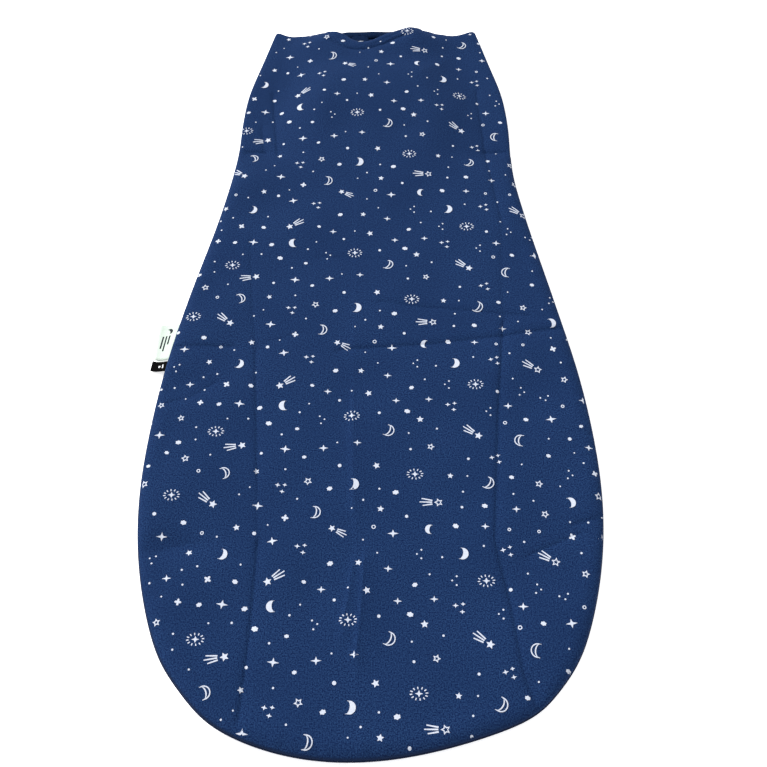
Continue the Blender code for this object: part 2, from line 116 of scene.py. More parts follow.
def half_width(y):
    """Half width at a height, on a smooth curve through WIDTHS."""
    ys = np.array([p[0] for p in WIDTHS])
    ws = np.array([p[1] for p in WIDTHS])
    slopes = np.empty_like(ws)
    slopes[1:-1] = (ws[2:] - ws[:-2]) / (ys[2:] - ys[:-2])
    slopes[0] = (ws[1] - ws[0]) / (ys[1] - ys[0])
    slopes[-1] = (ws[-1] - ws[-2]) / (ys[-1] - ys[-2])
    y = np.clip(np.asarray(y, dtype=float), ys[0], ys[-1])
    i = np.clip(np.searchsorted(ys, y, side="right") - 1, 0, len(ys) - 2)
    span = ys[i + 1] - ys[i]
    t = (y - ys[i]) / span
    return (ws[i] * (1 + 2 * t) * (1 - t) ** 2 + slopes[i] * span * t * (1 - t) ** 2
            + ws[i + 1] * t * t * (3 - 2 * t) + slopes[i + 1] * span * t * t * (t - 1))


def hem_y(s):
    x = s * HEM_CORNER_X
    bowl = HEM_BOWL * x * x + (HEM_CORNER_Y - HEM_BOWL * HEM_CORNER_X ** 2) * s ** 14
    return bowl + HEM_TILT * x * (1.0 - s * s)


def lengths(path):
    """How far along a line each of its points is."""
    gaps = np.linalg.norm(np.diff(path, axis=0), axis=1)
    return np.concatenate([[0.0], np.cumsum(gaps)])


def resample(path, step):
    """Points at even distances along a line of points."""
    path = np.asarray(path, dtype=float)
    along = lengths(path)
    count = max(2, int(round(along[-1] / step)) + 1)
    places = np.linspace(0.0, along[-1], count)
    return np.column_stack([np.interp(places, along, path[:, k]) for k in range(path.shape[1])])


def soften(path, reach):
    """Gaussian smoothing along a line whose ends stay where they are."""
    size = int(reach * 3)
    weights = np.exp(-0.5 * (np.arange(-size, size + 1) / reach) ** 2)
    weights /= weights.sum()
    head = 2 * path[0] - path[size:0:-1]
    tail = 2 * path[-1] - path[-2:-size - 2:-1]
    padded = np.vstack([head, path, tail])
    return np.column_stack([np.convolve(padded[:, k], weights, "valid") for k in range(path.shape[1])])


def through(points, step):
    """A smooth curve through a few points (Catmull-Rom)."""
    p = np.asarray(points, dtype=float)
    p = np.vstack([2 * p[0] - p[1], p, 2 * p[-1] - p[-2]])
    out = []
    for i in range(1, len(p) - 2):
        for t in np.linspace(0.0, 1.0, 16, endpoint=False):
            out.append(0.5 * (2 * p[i] + (p[i + 1] - p[i - 1]) * t
                              + (2 * p[i - 1] - 5 * p[i] + 4 * p[i + 1] - p[i + 2]) * t * t
                              + (3 * p[i] - p[i - 1] - 3 * p[i + 1] + p[i + 2]) * t ** 3))
    out.append(p[-2])
    return resample(out, step)


def normals_of(path):
    """Unit vectors to the left of the way along a 2-D line."""
    way = np.gradient(path, axis=0)
    way /= np.linalg.norm(way, axis=1)[:, None]
    return np.column_stack([-way[:, 1], way[:, 0]])


def tree_of(points):
    """A search tree over 2-D points."""
    tree = kdtree.KDTree(len(points))
    for number, (x, y) in enumerate(points):
        tree.insert((x, y, 0.0), number)
    tree.balance()
    return tree


# ---- outline of the bag ----
LEFT_TIP = (-0.0965, 0.7060)
RIGHT_TIP = (0.0975, 0.7080)
LEFT_SHOULDER = [(-NECK_HALF, 0.7015), (-0.0600, 0.7008), (-0.0730, 0.6998), (-0.0855, 0.7005)]
RIGHT_SHOULDER = [(NECK_HALF, 0.7050), (0.0600, 0.7035), (0.0720, 0.7015), (0.0840, 0.7020)]
EASE = 0.0010             # cloth stands this much proud of the CAD's outline
LABEL_SIDE_EASE = 0.0018  # a little more beside the label
RIGHT_ARM_EASE = 0.0034   # and over the right armhole


def edge_path():
    """The closed edge, from the left end of the neck round the hem to the right end of the neck."""
    ys = np.linspace(0.712, HEM_CORNER_Y, 320)
    narrow = 0.23 * np.clip(ys - SIDE_TOP, 0.0, 1.0)
    swell = EASE * smooth((ys - HEM_CORNER_Y) / 0.03)
    left_x = half_width(ys) - narrow + swell + LABEL_SIDE_EASE * np.exp(-((ys - 0.36) / 0.07) ** 2)
    right_x = half_width(ys) - narrow + swell + RIGHT_ARM_EASE * smooth((ys - 0.50) / 0.06)
    left = np.column_stack([-left_x, ys])
    right = np.column_stack([right_x, ys])[::-1]
    s = np.linspace(-1.0, 1.0, 130)[1:-1]
    hem = np.column_stack([s * HEM_CORNER_X, hem_y(s)])
    left = left[left[:, 1] < LEFT_TIP[1]]
    right = right[right[:, 1] < RIGHT_TIP[1]]
    body = soften(resample(np.vstack([left, hem, right]), STEP), 4.0)
    first = through(LEFT_SHOULDER + [LEFT_TIP], STEP)
    last = through([RIGHT_TIP] + RIGHT_SHOULDER[::-1], STEP)
    whole = resample(np.vstack([first, body, last]), STEP)
    return soften(whole, 0.9)


EDGE = edge_path()
EDGE_IN = normals_of(EDGE)
EDGE_ALONG = lengths(EDGE)
EDGE_TREE = tree_of(EDGE)


def from_edge(points):
    """Distance of 2-D points to the closed edge, and how far along it the nearest place is."""
    away = np.empty(len(points))
    along = np.empty(len(points))
    for k, (x, y) in enumerate(points):
        _, i, _ = EDGE_TREE.find((x, y, 0.0))
        best = 9.0
        for j in (max(i - 1, 0), min(i, len(EDGE) - 2)):
            a = EDGE[j]
            b = EDGE[j + 1]
            dx, dy = b - a
            t = ((x - a[0]) * dx + (y - a[1]) * dy) / (dx * dx + dy * dy)
            t = min(1.0, max(0.0, t))
            d = math.hypot(x - a[0] - t * dx, y - a[1] - t * dy)
            if d < best:
                best = d
                along[k] = EDGE_ALONG[j] + t * (EDGE_ALONG[j + 1] - EDGE_ALONG[j])
        away[k] = best
    return away, along


# The neckline of the back, seen from above, and of the front behind it
BACK_NECK = [(NECK_HALF, 0.7050), (0.0430, 0.7035), (0.0360, 0.7008), (0.0300, 0.6982), (0.0220, 0.6950),
             (0.0120, 0.6906), (0.0040, 0.6862), (-0.0039, 0.6819), (-0.0117, 0.6800), (-0.0177, 0.6817),
             (-0.0237, 0.6862), (-0.0307, 0.6914), (-0.0360, 0.6938), (-0.0440, 0.6985), (-NECK_HALF, 0.7015)]
FRONT_NECK = [(-NECK_HALF, 0.7015), (-0.0440, 0.7055), (-0.0370, 0.7095), (-0.0300, 0.7109),
              (-0.0196, 0.7110), (-0.0094, 0.7113), (0.0008, 0.7124), (0.0110, 0.7143), (0.0200, 0.7155),
              (0.0280, 0.7158), (0.0360, 0.7142), (0.0430, 0.7105), (NECK_HALF, 0.7050)]
NECK_TURN = 0.0080        # the back layer rounds over at the neck within this distance
NECK_FALL = 0.0040
NECK_BUMPS = [((-0.0430, 0.6900), 0.0008), ((0.0400, 0.6940), 0.0012)]

NECK_LINE_COARSE = through(BACK_NECK, 0.006)
BACK_NECK_LINE = through(BACK_NECK, STEP)
FRONT_NECK_LINE = through(FRONT_NECK, STEP)

# ---- creases seen on the back: lines in the bag's frame, depth and width in metres ----
CREASES = [
    ([(-0.106, 0.430), (-0.098, 0.350), (-0.094, 0.322)], 0.00070, 0.0015),
    ([(-0.094, 0.316), (-0.085, 0.204)], 0.00140, 0.0015),
    ([(-0.085, 0.206), (-0.081, 0.145)], 0.00075, 0.0015),
    ([(-0.081, 0.149), (-0.082, 0.088), (-0.084, 0.051), (-0.086, 0.025)], 0.00165, 0.0015),
    ([(0.099, 0.618), (0.104, 0.528), (0.113, 0.453)], 0.00120, 0.0013),
    ([(0.113, 0.453), (0.110, 0.405), (0.108, 0.350)], 0.00050, 0.0015),
    ([(0.108, 0.345), (0.100, 0.269), (0.090, 0.151), (0.098, 0.106), (0.104, 0.054), (0.112, 0.031)],
     0.00170, 0.0015),
    ([(0.108, 0.052), (0.116, 0.038)], 0.00090, 0.0013),
    ([(-0.161, 0.321), (-0.113, 0.320)], 0.00160, 0.0015),
    ([(-0.086, 0.323), (-0.058, 0.332)], 0.00060, 0.0015),
    ([(-0.026, 0.316), (0.047, 0.322), (0.104, 0.330), (0.154, 0.339)], 0.00180, 0.0016),
    ([(0.007, 0.364), (0.031, 0.360), (0.093, 0.354), (0.130, 0.351)], 0.00122, 0.0015),
    ([(-0.045, 0.412), (0.015, 0.409)], 0.00081, 0.0020),
    ([(-0.154, 0.144), (-0.130, 0.150), (-0.113, 0.136), (-0.093, 0.139)], 0.00045, 0.0015),
    ([(-0.161, 0.267), (-0.142, 0.273), (-0.124, 0.286)], 0.00108, 0.0015),
    ([(-0.121, 0.061), (-0.113, 0.051)], 0.00095, 0.0015),
    ([(0.149, 0.164), (0.166, 0.169)], 0.00122, 0.0015),
    ([(0.114, 0.140), (0.152, 0.157)], 0.00108, 0.0015),
    ([(-0.097, 0.614), (-0.088, 0.534)], 0.00149, 0.0015),
    ([(-0.105, 0.570), (-0.101, 0.540)], 0.00108, 0.0015),
    ([(-0.117, 0.5385), (-0.099, 0.5385)], 0.00162, 0.0015),
    ([(0.103, 0.5385), (0.128, 0.5390)], 0.00152, 0.0015),
    ([(-0.0424, 0.6820), (-0.0363, 0.6765), (-0.0284, 0.6715), (-0.0204, 0.6688), (-0.0116, 0.6680),
      (-0.0018, 0.6700), (0.0100, 0.6764), (0.0199, 0.6822), (0.0300, 0.6870)], 0.00224, 0.0012),
    ([(-0.0400, 0.6885), (-0.0310, 0.6815), (-0.0200, 0.6750)], 0.00090, 0.0011),
    ([(0.0000, 0.6755), (0.0120, 0.6830), (0.0270, 0.6915)], 0.00112, 0.0011),
]
HOLLOWS = [               # broad soft dips near the sides: x, y, reach across and up, depth
    (-0.150, 0.282, 0.030, 0.013, 0.0022), (-0.146, 0.147, 0.030, 0.009, 0.0030),
    (-0.160, 0.112, 0.012, 0.009, 0.0012), (0.145, 0.158, 0.026, 0.010, 0.0007),
    (-0.040, 0.115, 0.012, 0.040, 0.0006), (-0.088, 0.600, 0.010, 0.045, 0.0007),
    (0.160, 0.230, 0.014, 0.020, 0.0006), (0.030, 0.560, 0.014, 0.007, 0.0006),
    (-0.027, 0.683, 0.012, 0.008, 0.0016), (0.006, 0.680, 0.014, 0.007, 0.0014),
]
RIDGES = [                # the zip under the back layer, and the edges of its sliders and tapes
    ([(-0.014, 0.621), (-0.014, 0.400), (-0.015, 0.255)], 0.00035, 0.0020),
    ([(-0.015, 0.255), (-0.0135, 0.200), (-0.0125, 0.172)], 0.00190, 0.0024),
    ([(-0.0125, 0.132), (-0.0160, 0.105), (-0.0195, 0.088)], 0.00190, 0.0015),
    ([(-0.0050, 0.134), (-0.0065, 0.100), (-0.0100, 0.064)], 0.00210, 0.0015),
    ([(-0.002, 0.078), (0.004, 0.071)], 0.00080, 0.0015),
]
WAVE_COUNT = 7
WAVE_SIZES = (0.055, 0.140)


def along_line(x, y, line):
    """Distance to a line of points, and which side of it each place is on."""
    best = np.full(len(x), 9.0)
    side = np.zeros(len(x))
    line = np.asarray(line)
    for a, b in zip(line[:-1], line[1:]):
        dx, dy = b - a
        size = math.hypot(dx, dy)
        t = np.clip(((x - a[0]) * dx + (y - a[1]) * dy) / size ** 2, 0.0, 1.0)
        ox = x - a[0] - t * dx
        oy = y - a[1] - t * dy
        d = np.hypot(ox, oy)
        near = d < best
        best = np.where(near, d, best)
        side = np.where(near, (dx * oy - dy * ox) / size, side)
    return best, side


def slopes(x, y, line, steep_reach, gentle_reach):
    """1 on a line and fading to nothing on both sides of it, faster on the side towards the light."""
    best, side = along_line(x, y, line)
    dx, dy = np.subtract(line[-1], line[0])
    steep = (side > 0) == (dy + 0.75 * dx > 0)
    return np.exp(-best / np.where(steep, steep_reach, gentle_reach))


def relief(x, y):
    """Creases, hollows and ridges of the back layer."""
    z = np.zeros(len(x))
    for line, depth, width in CREASES:
        z -= depth * slopes(x, y, line, 1.2 * width, 3.0 * width)
    for px, py, wide, tall, depth in HOLLOWS:
        z -= depth * np.exp(-((x - px) / wide) ** 2 - ((y - py) / tall) ** 2)
    for line, height, width in RIDGES:
        z += height * slopes(x, y, line, width, 5.0 * width)
    return z


def waves(x, y, seed, height):
    """Soft seeded unevenness, a sum of a few slow waves."""
    rng = random.Random(seed)
    total = np.zeros(len(x))
    for _ in range(WAVE_COUNT):
        size = rng.uniform(*WAVE_SIZES)
        turn = rng.uniform(0.0, math.pi)
        shift = rng.uniform(0.0, 2 * math.pi)
        total += np.sin(2 * math.pi * (x * math.cos(turn) + y * math.sin(turn)) / size + shift)
    return total * height / math.sqrt(WAVE_COUNT)


def back_shape(points, away, along, plain=False):
    """Height of the back layer over 2-D points."""
    x = points[:, 0]
    y = points[:, 1]
    width = half_width(y)
    full = BODY_H + NECK_RISE * smooth((y - 0.45) / 0.20) + DOME * (1.0 - (x / width) ** 2)
    rolled = mix(BACK_EDGE_Z, full, rounding(away / EDGE_ROLL))
    margin = mix(MARGIN_EDGE_Z, MARGIN_Z, rounding(away / 0.006))
    margin = margin + (full - MARGIN_Z) * smooth((away - MARGIN_WIDTH + 0.006) / 0.062)
    z = mix(rolled, margin, smooth((y - 0.49) / 0.05))
    collar = mix(MARGIN_Z, BODY_H + NECK_RISE, 1.0 - smooth((np.abs(x) - 0.028) / 0.064))
    collar = mix(MARGIN_EDGE_Z, collar, rounding(away / 0.020))
    z = mix(z, collar, smooth((y - 0.630) / 0.055))
    for (bx, by), rise in NECK_BUMPS:
        z = z + rise * np.exp(-(((x - bx) / 0.012) ** 2 + ((y - by) / 0.014) ** 2))
    to_neck, _ = along_line(x, y, NECK_LINE_COARSE)
    z = z - NECK_FALL * (1.0 - rounding(to_neck / NECK_TURN)) * smooth(away / 0.012)
    if plain:
        return z
    arm = smooth((y - 0.500) / 0.04) * smooth((np.abs(x) - FOLD_X + 0.012) / 0.012)
    quiet = smooth(away / 0.020) * (1.0 - 0.85 * arm)
    z = z + waves(x, y, 3, 0.00060) * quiet
    z = z + relief(x, y) * smooth(away / 0.008)
    pucker = np.sin(2 * math.pi * along / 0.0125 + 1.7 * np.sin(along * 31.0))
    pucker = pucker + np.sin(along * 2 * math.pi / 0.019)
    z = z + 0.00022 * pucker * np.exp(-away / 0.009) * smooth(away / 0.0015) * (1.0 - 0.7 * arm)
    return z


def front_shape(points, away, along, plain=False):
    """Height of the front layer's outer side over 2-D points."""
    x = points[:, 0]
    y = points[:, 1]
    open_arm = smooth((y - FLAP_LOW + 0.016) / 0.018) * (1.0 - smooth((y - FLAP_HIGH + 0.002) / 0.018))
    lift = mix(FRONT_EDGE_Z, ARM_FRONT_Z, open_arm)
    z = lift * (1.0 - rounding(away / 0.014))
    near_zip = 1.0 - smooth((np.abs(x - ZIP_X) - 0.010) / 0.022)
    z = z + ZIP_LIFT * near_zip * smooth((y - 0.025) / 0.040)
    if plain:
        return z
    pucker = np.sin(2 * math.pi * along / 0.0125) + np.sin(along * 2 * math.pi / 0.019)
    z = z + 0.00010 * (pucker + 2.0) * np.exp(-away / 0.012) * smooth(away / 0.0015)
    return z + 0.00012 * (1.0 + waves(x, y, 8, 0.9)) * smooth(away / 0.02)


def on_layer(shape, flat, lift=0.0, plain=False):
    """2-D points set at a layer's height."""
    away, along = from_edge(flat)
    return np.column_stack([flat, shape(flat, away, along, plain) + lift])


# ---- meshes ----
def lattice(low, high, step):
    """Points of an even triangular lattice over a rectangle."""
    rows = int((high[1] - low[1]) / (step * 0.866)) + 1
    columns = int((high[0] - low[0]) / step) + 1
    j, i = np.mgrid[0:rows, 0:columns].reshape(2, -1)
    return np.column_stack([low[0] + (i + 0.5 * (j % 2)) * step, low[1] + j * step * 0.866])


def inside(points, loop):
    """Which 2-D points lie inside a closed loop."""
    x = points[:, 0]
    y = points[:, 1]
    found = np.zeros(len(points), dtype=bool)
    for (ax, ay), (bx, by) in zip(loop, np.roll(loop, -1, axis=0)):
        if ay == by:
            continue
        crosses = (ay > y) != (by > y)
        found ^= crosses & (x < ax + (y - ay) * (bx - ax) / (by - ay))
    return found


def close_to(points, others, reach):
    """Which points have one of the others within reach."""
    tree = tree_of(others)
    return np.array([tree.find((x, y, 0.0))[2] < reach for x, y in points])


def rings(step):
    """Points just inside the closed edge and the neckline, closer together where the cloth turns."""
    out = []
    neck = through(BACK_NECK, step)
    inwards = normals_of(neck)
    for gap in (0.0005, 0.0013, 0.0026, 0.0044, 0.0065):
        ring = neck + inwards * gap
        away, _ = along_line(ring[:, 0], ring[:, 1], neck)
        out.append(ring[away > gap * 0.95])
    for gap in (0.0006, 0.0016, 0.0032, 0.0052, 0.0074):
        ring = EDGE + EDGE_IN * gap
        away, _ = from_edge(ring)
        out.append(ring[away > gap * 0.97])
    return np.vstack(out)


def crease_points():
    """Rows of points along each crease and on its two flanks."""
    out = np.zeros((0, 2))
    for line, _, width in CREASES + RIDGES:
        path = through(line, 0.0022)
        sides = normals_of(path)
        for gap in (0.0, -0.7, 0.7, -1.6, 1.6):
            row = path + sides * gap * width
            if len(out):
                row = row[~close_to(row, out, 0.0006)]
            out = np.vstack([out, row])
    return out


def grid_faces(rows, columns, turned=False):
    """Quads between points that lie row by row."""
    faces = []
    for j in range(rows - 1):
        for k in range(columns - 1):
            a = j * columns + k
            quad = (a, a + 1, a + columns + 1, a + columns)
            faces.append(quad[::-1] if turned else quad)
    return faces


def tube_faces(rings, count, base=0, turned=False):
    """Quads between closed rings of points, and a face over each end."""
    faces = []
    for ring in range(rings - 1):
        first = base + ring * count
        for i in range(count):
            k = (i + 1) % count
            faces.append((first + i, first + k, first + count + k, first + count + i))
    last = base + (rings - 1) * count
    faces.append(tuple(range(base, base + count))[::-1])
    faces.append(tuple(range(last, last + count)))
    return [f[::-1] for f in faces] if turned else faces


def fill(loop, step, extra=None, lines=()):
    """Triangles inside a closed loop that keep its points, some extra points and some lines."""
    fixed = np.vstack([loop, *lines])
    edges = [(i, (i + 1) % len(loop)) for i in range(len(loop))]
    start = len(loop)
    for line in lines:
        edges += [(start + i, start + i + 1) for i in range(len(line) - 1)]
        start += len(line)
    taken = fixed
    if extra is not None:
        extra = extra[inside(extra, loop)]
        extra = extra[~close_to(extra, loop, 0.0004)]
        taken = np.vstack([loop, extra, *lines])
        if lines:
            extra = extra[~close_to(extra, np.vstack(lines), 0.0006)]
        fixed = np.vstack([fixed, extra])
    free = lattice(loop.min(axis=0), loop.max(axis=0), step)
    free = free[inside(free, loop)]
    free = free[~close_to(free, taken, step * 0.62)]
    points = [Vector(p) for p in np.vstack([fixed, free])]
    made = geometry.delaunay_2d_cdt(points, edges, [], 1, 1e-7)
    order = {origin: index for index, origins in enumerate(made[3]) for origin in origins}
    rim = [order[i] for i in range(len(loop))]
    return np.array([(v.x, v.y) for v in made[0]]), [tuple(f) for f in made[2]], rim


def linked(name, data):
    obj = bpy.data.objects.new(name, data)
    bpy.context.scene.collection.objects.link(obj)
    return obj


def mesh_object(name, verts, faces, paint, uvs=None, flat_shade=False):
    """An object from points in the bag's frame."""
    mesh = bpy.data.meshes.new(name)
    places = np.asarray(verts, dtype=float) + SHIFT
    mesh.from_pydata(places.tolist(), [], [tuple(int(i) for i in f) for f in faces])
    mesh.polygons.foreach_set("use_smooth", [not flat_shade] * len(mesh.polygons))
    if uvs is None:
        uvs = np.asarray(verts, dtype=float)[:, :2]
    layer = mesh.uv_layers.new(name="cloth")
    index = np.zeros(len(mesh.loops), dtype=np.int32)
    mesh.loops.foreach_get("vertex_index", index)
    layer.data.foreach_set("uv", np.asarray(uvs, dtype=np.float32)[index].ravel())
    mesh.update()
    mesh.materials.append(paint)
    return linked(name, mesh)


def patch(name, ys, xs, place, paint, turned=False):
    """A piece of cloth over a grid: place gives the point for each x and y."""
    verts = [place(x, y) for y in ys for x in xs]
    return mesh_object(name, verts, grid_faces(len(ys), len(xs), turned), paint)


def vertex_normals(verts, faces):
    """Area-weighted normals of a surface's points."""
    verts = np.asarray(verts)
    total = np.zeros_like(verts)
    tris = np.array([(f[0], f[i], f[i + 1]) for f in faces for i in range(1, len(f) - 1)])
    a, b, c = verts[tris[:, 0]], verts[tris[:, 1]], verts[tris[:, 2]]
    own = np.cross(b - a, c - a)
    for k in range(3):
        np.add.at(total, tris[:, k], own)
    return total / np.maximum(np.linalg.norm(total, axis=1), 1e-12)[:, None]


def shell_object(name, verts, faces, normals, thickness, paint):
    """Cloth with an outer and an inner side, whose shading runs on unbroken into its neighbours."""
    count = len(verts)
    places = np.vstack([verts, verts - normals * thickness])
    ways = {(f[i], f[(i + 1) % len(f)]) for f in faces for i in range(len(f))}
    rims = [(b, a, a + count, b + count) for a, b in ways if (b, a) not in ways]
    under = [tuple(i + count for i in f[::-1]) for f in faces]
    every = list(faces) + under + rims
    uvs = np.vstack([verts[:, :2], verts[:, :2]])
    obj = mesh_object(name, places, every, paint, uvs)
    own = []
    for f in faces:
        own += [normals[i] for i in f]
    for f in under:
        own += [-normals[i - count] for i in f]
    for f in rims:
        flat = np.cross(places[f[1]] - places[f[0]], places[f[3]] - places[f[0]])
        flat = flat / max(1e-12, np.linalg.norm(flat))
        own += [flat] * 4
    obj.data.normals_split_custom_set(np.array(own).tolist())
    return obj


def put(obj, node_name=None, flap=None, thickness=0.0):
    """Gives a piece its thickness, ties it to the bag's body or, for an armhole's flap, bakes its place into
    its points, and hides the CAD node it replaces.
    """
    if thickness:
        shell = obj.modifiers.new("thickness", "SOLIDIFY")
        shell.thickness = thickness
        shell.offset = -1.0
    if flap is None:
        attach(obj, "bag")
    else:
        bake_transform(obj)
    if node_name:
        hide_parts(node_name)


def as_sheet(obj, closed=False):
    """Adds up a cloth piece's face area, halved for a closed piece, and keeps nothing."""
    size = sum(face.area for face in obj.data.polygons)
    if closed:
        size /= 2


def swept(name, path, sides, section, paint):
    """A closed section carried along a 3-D line. Its points are (sideways, up) offsets from the line."""
    verts = []
    uvs = []
    for place, side, far in zip(path, sides, lengths(path)):
        for (a, b), near in zip(section, lengths(section)):
            verts.append(place + np.array([side[0] * a, side[1] * a, b]))
            uvs.append((far, near))
    return mesh_object(name, verts, tube_faces(len(path), len(section)), paint, uvs)


def stitches(name, paths, length=0.0022, gap=0.0010, radius=0.00022):
    """Short rounded thread bars in rows along 3-D lines."""
    verts = []
    faces = []
    for path in paths:
        line = resample(path, 0.0004)
        every = int(round((length + gap) / 0.0004))
        reach = int(round(length / 0.0004))
        for first in range(0, len(line) - reach - 1, every):
            a = line[first]
            b = line[first + reach]
            way = (b - a) / max(1e-9, np.linalg.norm(b - a))
            side = np.cross(way, (0.0, 0.0, 1.0))
            side /= max(1e-9, np.linalg.norm(side))
            up = np.cross(side, way)
            base = len(verts)
            for place, size in ((a, 0.35), (mix(a, b, 0.2), 1.0), (mix(a, b, 0.8), 1.0), (b, 0.35)):
                for turn in range(5):
                    angle = turn * 2 * math.pi / 5
                    offset = side * math.cos(angle) * 1.25 + up * math.sin(angle)
                    verts.append(place + offset * radius * size)
            faces += tube_faces(4, 5, base)
    put(mesh_object(name, verts, faces, LOOK["navy_thread"]))


# ---- materials ----
WALE = 0.0011             # width of a column of knit stitches
COURSE = 0.0009           # height of a row of them


def node(tree, kind, props=None, **inputs):
    """A shader node with its settings and its inputs set or linked. i0, i1 name inputs by number."""
    made = tree.nodes.new(kind)
    for key, value in (props or {}).items():
        setattr(made, key, value)
    for key, value in inputs.items():
        numbered = key[0] == "i" and key[1:].isdigit()
        socket = made.inputs[int(key[1:])] if numbered else made.inputs[key.replace("_", " ")]
        if isinstance(value, bpy.types.NodeSocket):
            tree.links.new(value, socket)
        else:
            socket.default_value = value
    return made


def material(name, **settings):
    made = bpy.data.materials.new(name)
    made.use_nodes = True
    shader = made.node_tree.nodes["Principled BSDF"]
    for key, value in settings.items():
        shader.inputs[key.replace("_", " ")].default_value = value
    return made, made.node_tree, shader


def sums(tree, kind, a, b, clamp=False):
    return node(tree, "ShaderNodeMath", {"operation": kind, "use_clamp": clamp}, i0=a, i1=b).outputs[0]


def shade(colour, factor):
    return (colour[0] * factor, colour[1] * factor, colour[2] * factor, 1.0)


def noise(tree, vector, scale, detail=3.0, rough=0.6):
    return node(tree, "ShaderNodeTexNoise", None, Vector=vector, Scale=scale, Detail=detail,
                Roughness=rough).outputs["Fac"]


def blend_colours(tree, factor, a, b):
    return node(tree, "ShaderNodeMix", {"data_type": "RGBA"}, i0=factor, i6=a, i7=b).outputs[2]


def remap(tree, value, low, high, to_low=0.0, to_high=1.0):
    return node(tree, "ShaderNodeMapRange", None, i0=value, i1=low, i2=high, i3=to_low, i4=to_high).outputs[0]


def cycle(tree, kind, value, pitch):
    """Sine or cosine of a length, once every pitch."""
    return sums(tree, kind, sums(tree, "MULTIPLY", value, 2 * math.pi / pitch), 0.0)


def cloth_map(tree):
    return node(tree, "ShaderNodeUVMap", {"uv_map": "cloth"}).outputs[0]


def object_map(tree):
    return node(tree, "ShaderNodeTexCoord").outputs["Object"]


def surface(tree, shader, tone, height, strength, distance):
    """Links a look's colour and its relief."""
    tree.links.new(tone, shader.inputs["Base Color"])
    bump = node(tree, "ShaderNodeBump", None, Height=height, Strength=strength, Distance=distance)
    tree.links.new(bump.outputs[0], shader.inputs["Normal"])


def knit_height(tree, uv, wale):
    """Rows of V-shaped stitches, from the cloth's own coordinates in metres."""
    parts = node(tree, "ShaderNodeSeparateXYZ", None, Vector=uv)
    across = sums(tree, "MULTIPLY", parts.outputs[0], 1.0 / wale)
    up = sums(tree, "MULTIPLY", parts.outputs[1], 1.0 / COURSE)
    within = sums(tree, "SUBTRACT", sums(tree, "FRACT", across, 0.0), 0.5)
    bent = sums(tree, "ADD", up, sums(tree, "MULTIPLY", sums(tree, "ABSOLUTE", within, 0.0), 1.1))
    loops = cycle(tree, "SINE", bent, 1.0)
    wales = cycle(tree, "COSINE", across, 1.0)
    return sums(tree, "ADD", sums(tree, "MULTIPLY", loops, 0.5), sums(tree, "MULTIPLY", wales, -0.7))


def jersey(name, colour, wale=WALE, heather=0.80, gloss=0.05):
    """Cotton jersey: knit relief, a fine heather of lighter and darker yarns, and painted shade where a mesh
    carries the rim attribute.
    """
    rough = 0.9
    made, tree, shader = material(name, Specular_IOR_Level=gloss)
    uv = cloth_map(tree)
    fine = noise(tree, uv, 1050.0, 2.0, 0.65)
    stretched = node(tree, "ShaderNodeMapping", None, Vector=uv, Scale=(1.0, 0.35, 1.0)).outputs[0]
    yarn = noise(tree, stretched, 950.0, 1.0, 0.5)
    broad = noise(tree, uv, 16.0, 2.0, 0.5)
    red, green, blue = colour
    dark = (red * 0.05, green * (1.0 - heather), blue * (1.0 - 0.7 * heather), 1.0)
    pale = (red * (1.0 + 2.0 * heather), green * (1.0 + 1.4 * heather), blue * (1.0 + 0.75 * heather), 1.0)
    cloth = blend_colours(tree, remap(tree, fine, 0.36, 0.64), dark, pale)
    cloth = blend_colours(tree, remap(tree, yarn, 0.35, 0.75, 0.0, 0.25), cloth, shade(colour, 1.20))
    cloth = blend_colours(tree, remap(tree, broad, 0.35, 0.65, 0.0, 0.28), cloth, shade(colour, 0.80))
    # Painted shade: where the rim attribute is set, the cloth turns to half its colour, as a shadow along the
    # back cover's turned edge.
    rim = node(tree, "ShaderNodeAttribute", {"attribute_name": "rim"}).outputs["Fac"]
    cloth = blend_colours(tree, rim, cloth, shade(colour, 0.50))
    height = sums(tree, "ADD", knit_height(tree, uv, wale), sums(tree, "MULTIPLY", fine, 1.2))
    surface(tree, shader, cloth, height, 0.55, 0.00006)
    uneven = remap(tree, fine, 0.2, 0.8, rough - 0.08, rough + 0.06)
    tree.links.new(uneven, shader.inputs["Roughness"])
    return made


def ink(name, colour):
    """Print on the knit: thin pigment that lets a little of the cloth's relief through."""
    made, tree, shader = material(name, Roughness=0.85, Specular_IOR_Level=0.2)
    uv = cloth_map(tree)
    patch = remap(tree, noise(tree, uv, 900.0, 2.0, 0.6), 0.35, 0.65)
    tone = blend_colours(tree, patch, shade(colour, 0.86), shade(colour, 1.04))
    surface(tree, shader, tone, knit_height(tree, uv, WALE), 0.4, 0.00004)
    return made


def woven(name, colour, pitch=0.0005, contrast=0.10, rough=0.7, sheen=0.0, gloss=0.15):
    """Plain weave or satin for tapes and labels."""
    made, tree, shader = material(name, Roughness=rough, Sheen_Weight=sheen, Specular_IOR_Level=gloss)
    uv = cloth_map(tree)
    parts = node(tree, "ShaderNodeSeparateXYZ", None, Vector=uv)
    weave = sums(tree, "MULTIPLY", cycle(tree, "SINE", parts.outputs[0], pitch),
                 cycle(tree, "SINE", parts.outputs[1], pitch))
    fine = noise(tree, uv, 700.0, 2.0, 0.6)
    part = sums(tree, "MULTIPLY", sums(tree, "ADD", weave, 1.0), 0.25)
    part = sums(tree, "ADD", part, sums(tree, "MULTIPLY", fine, 0.5), True)
    tone = blend_colours(tree, part, shade(colour, 1.0 - contrast), shade(colour, 1.0 + contrast))
    surface(tree, shader, tone, weave, 0.5, 0.00005)
    return made


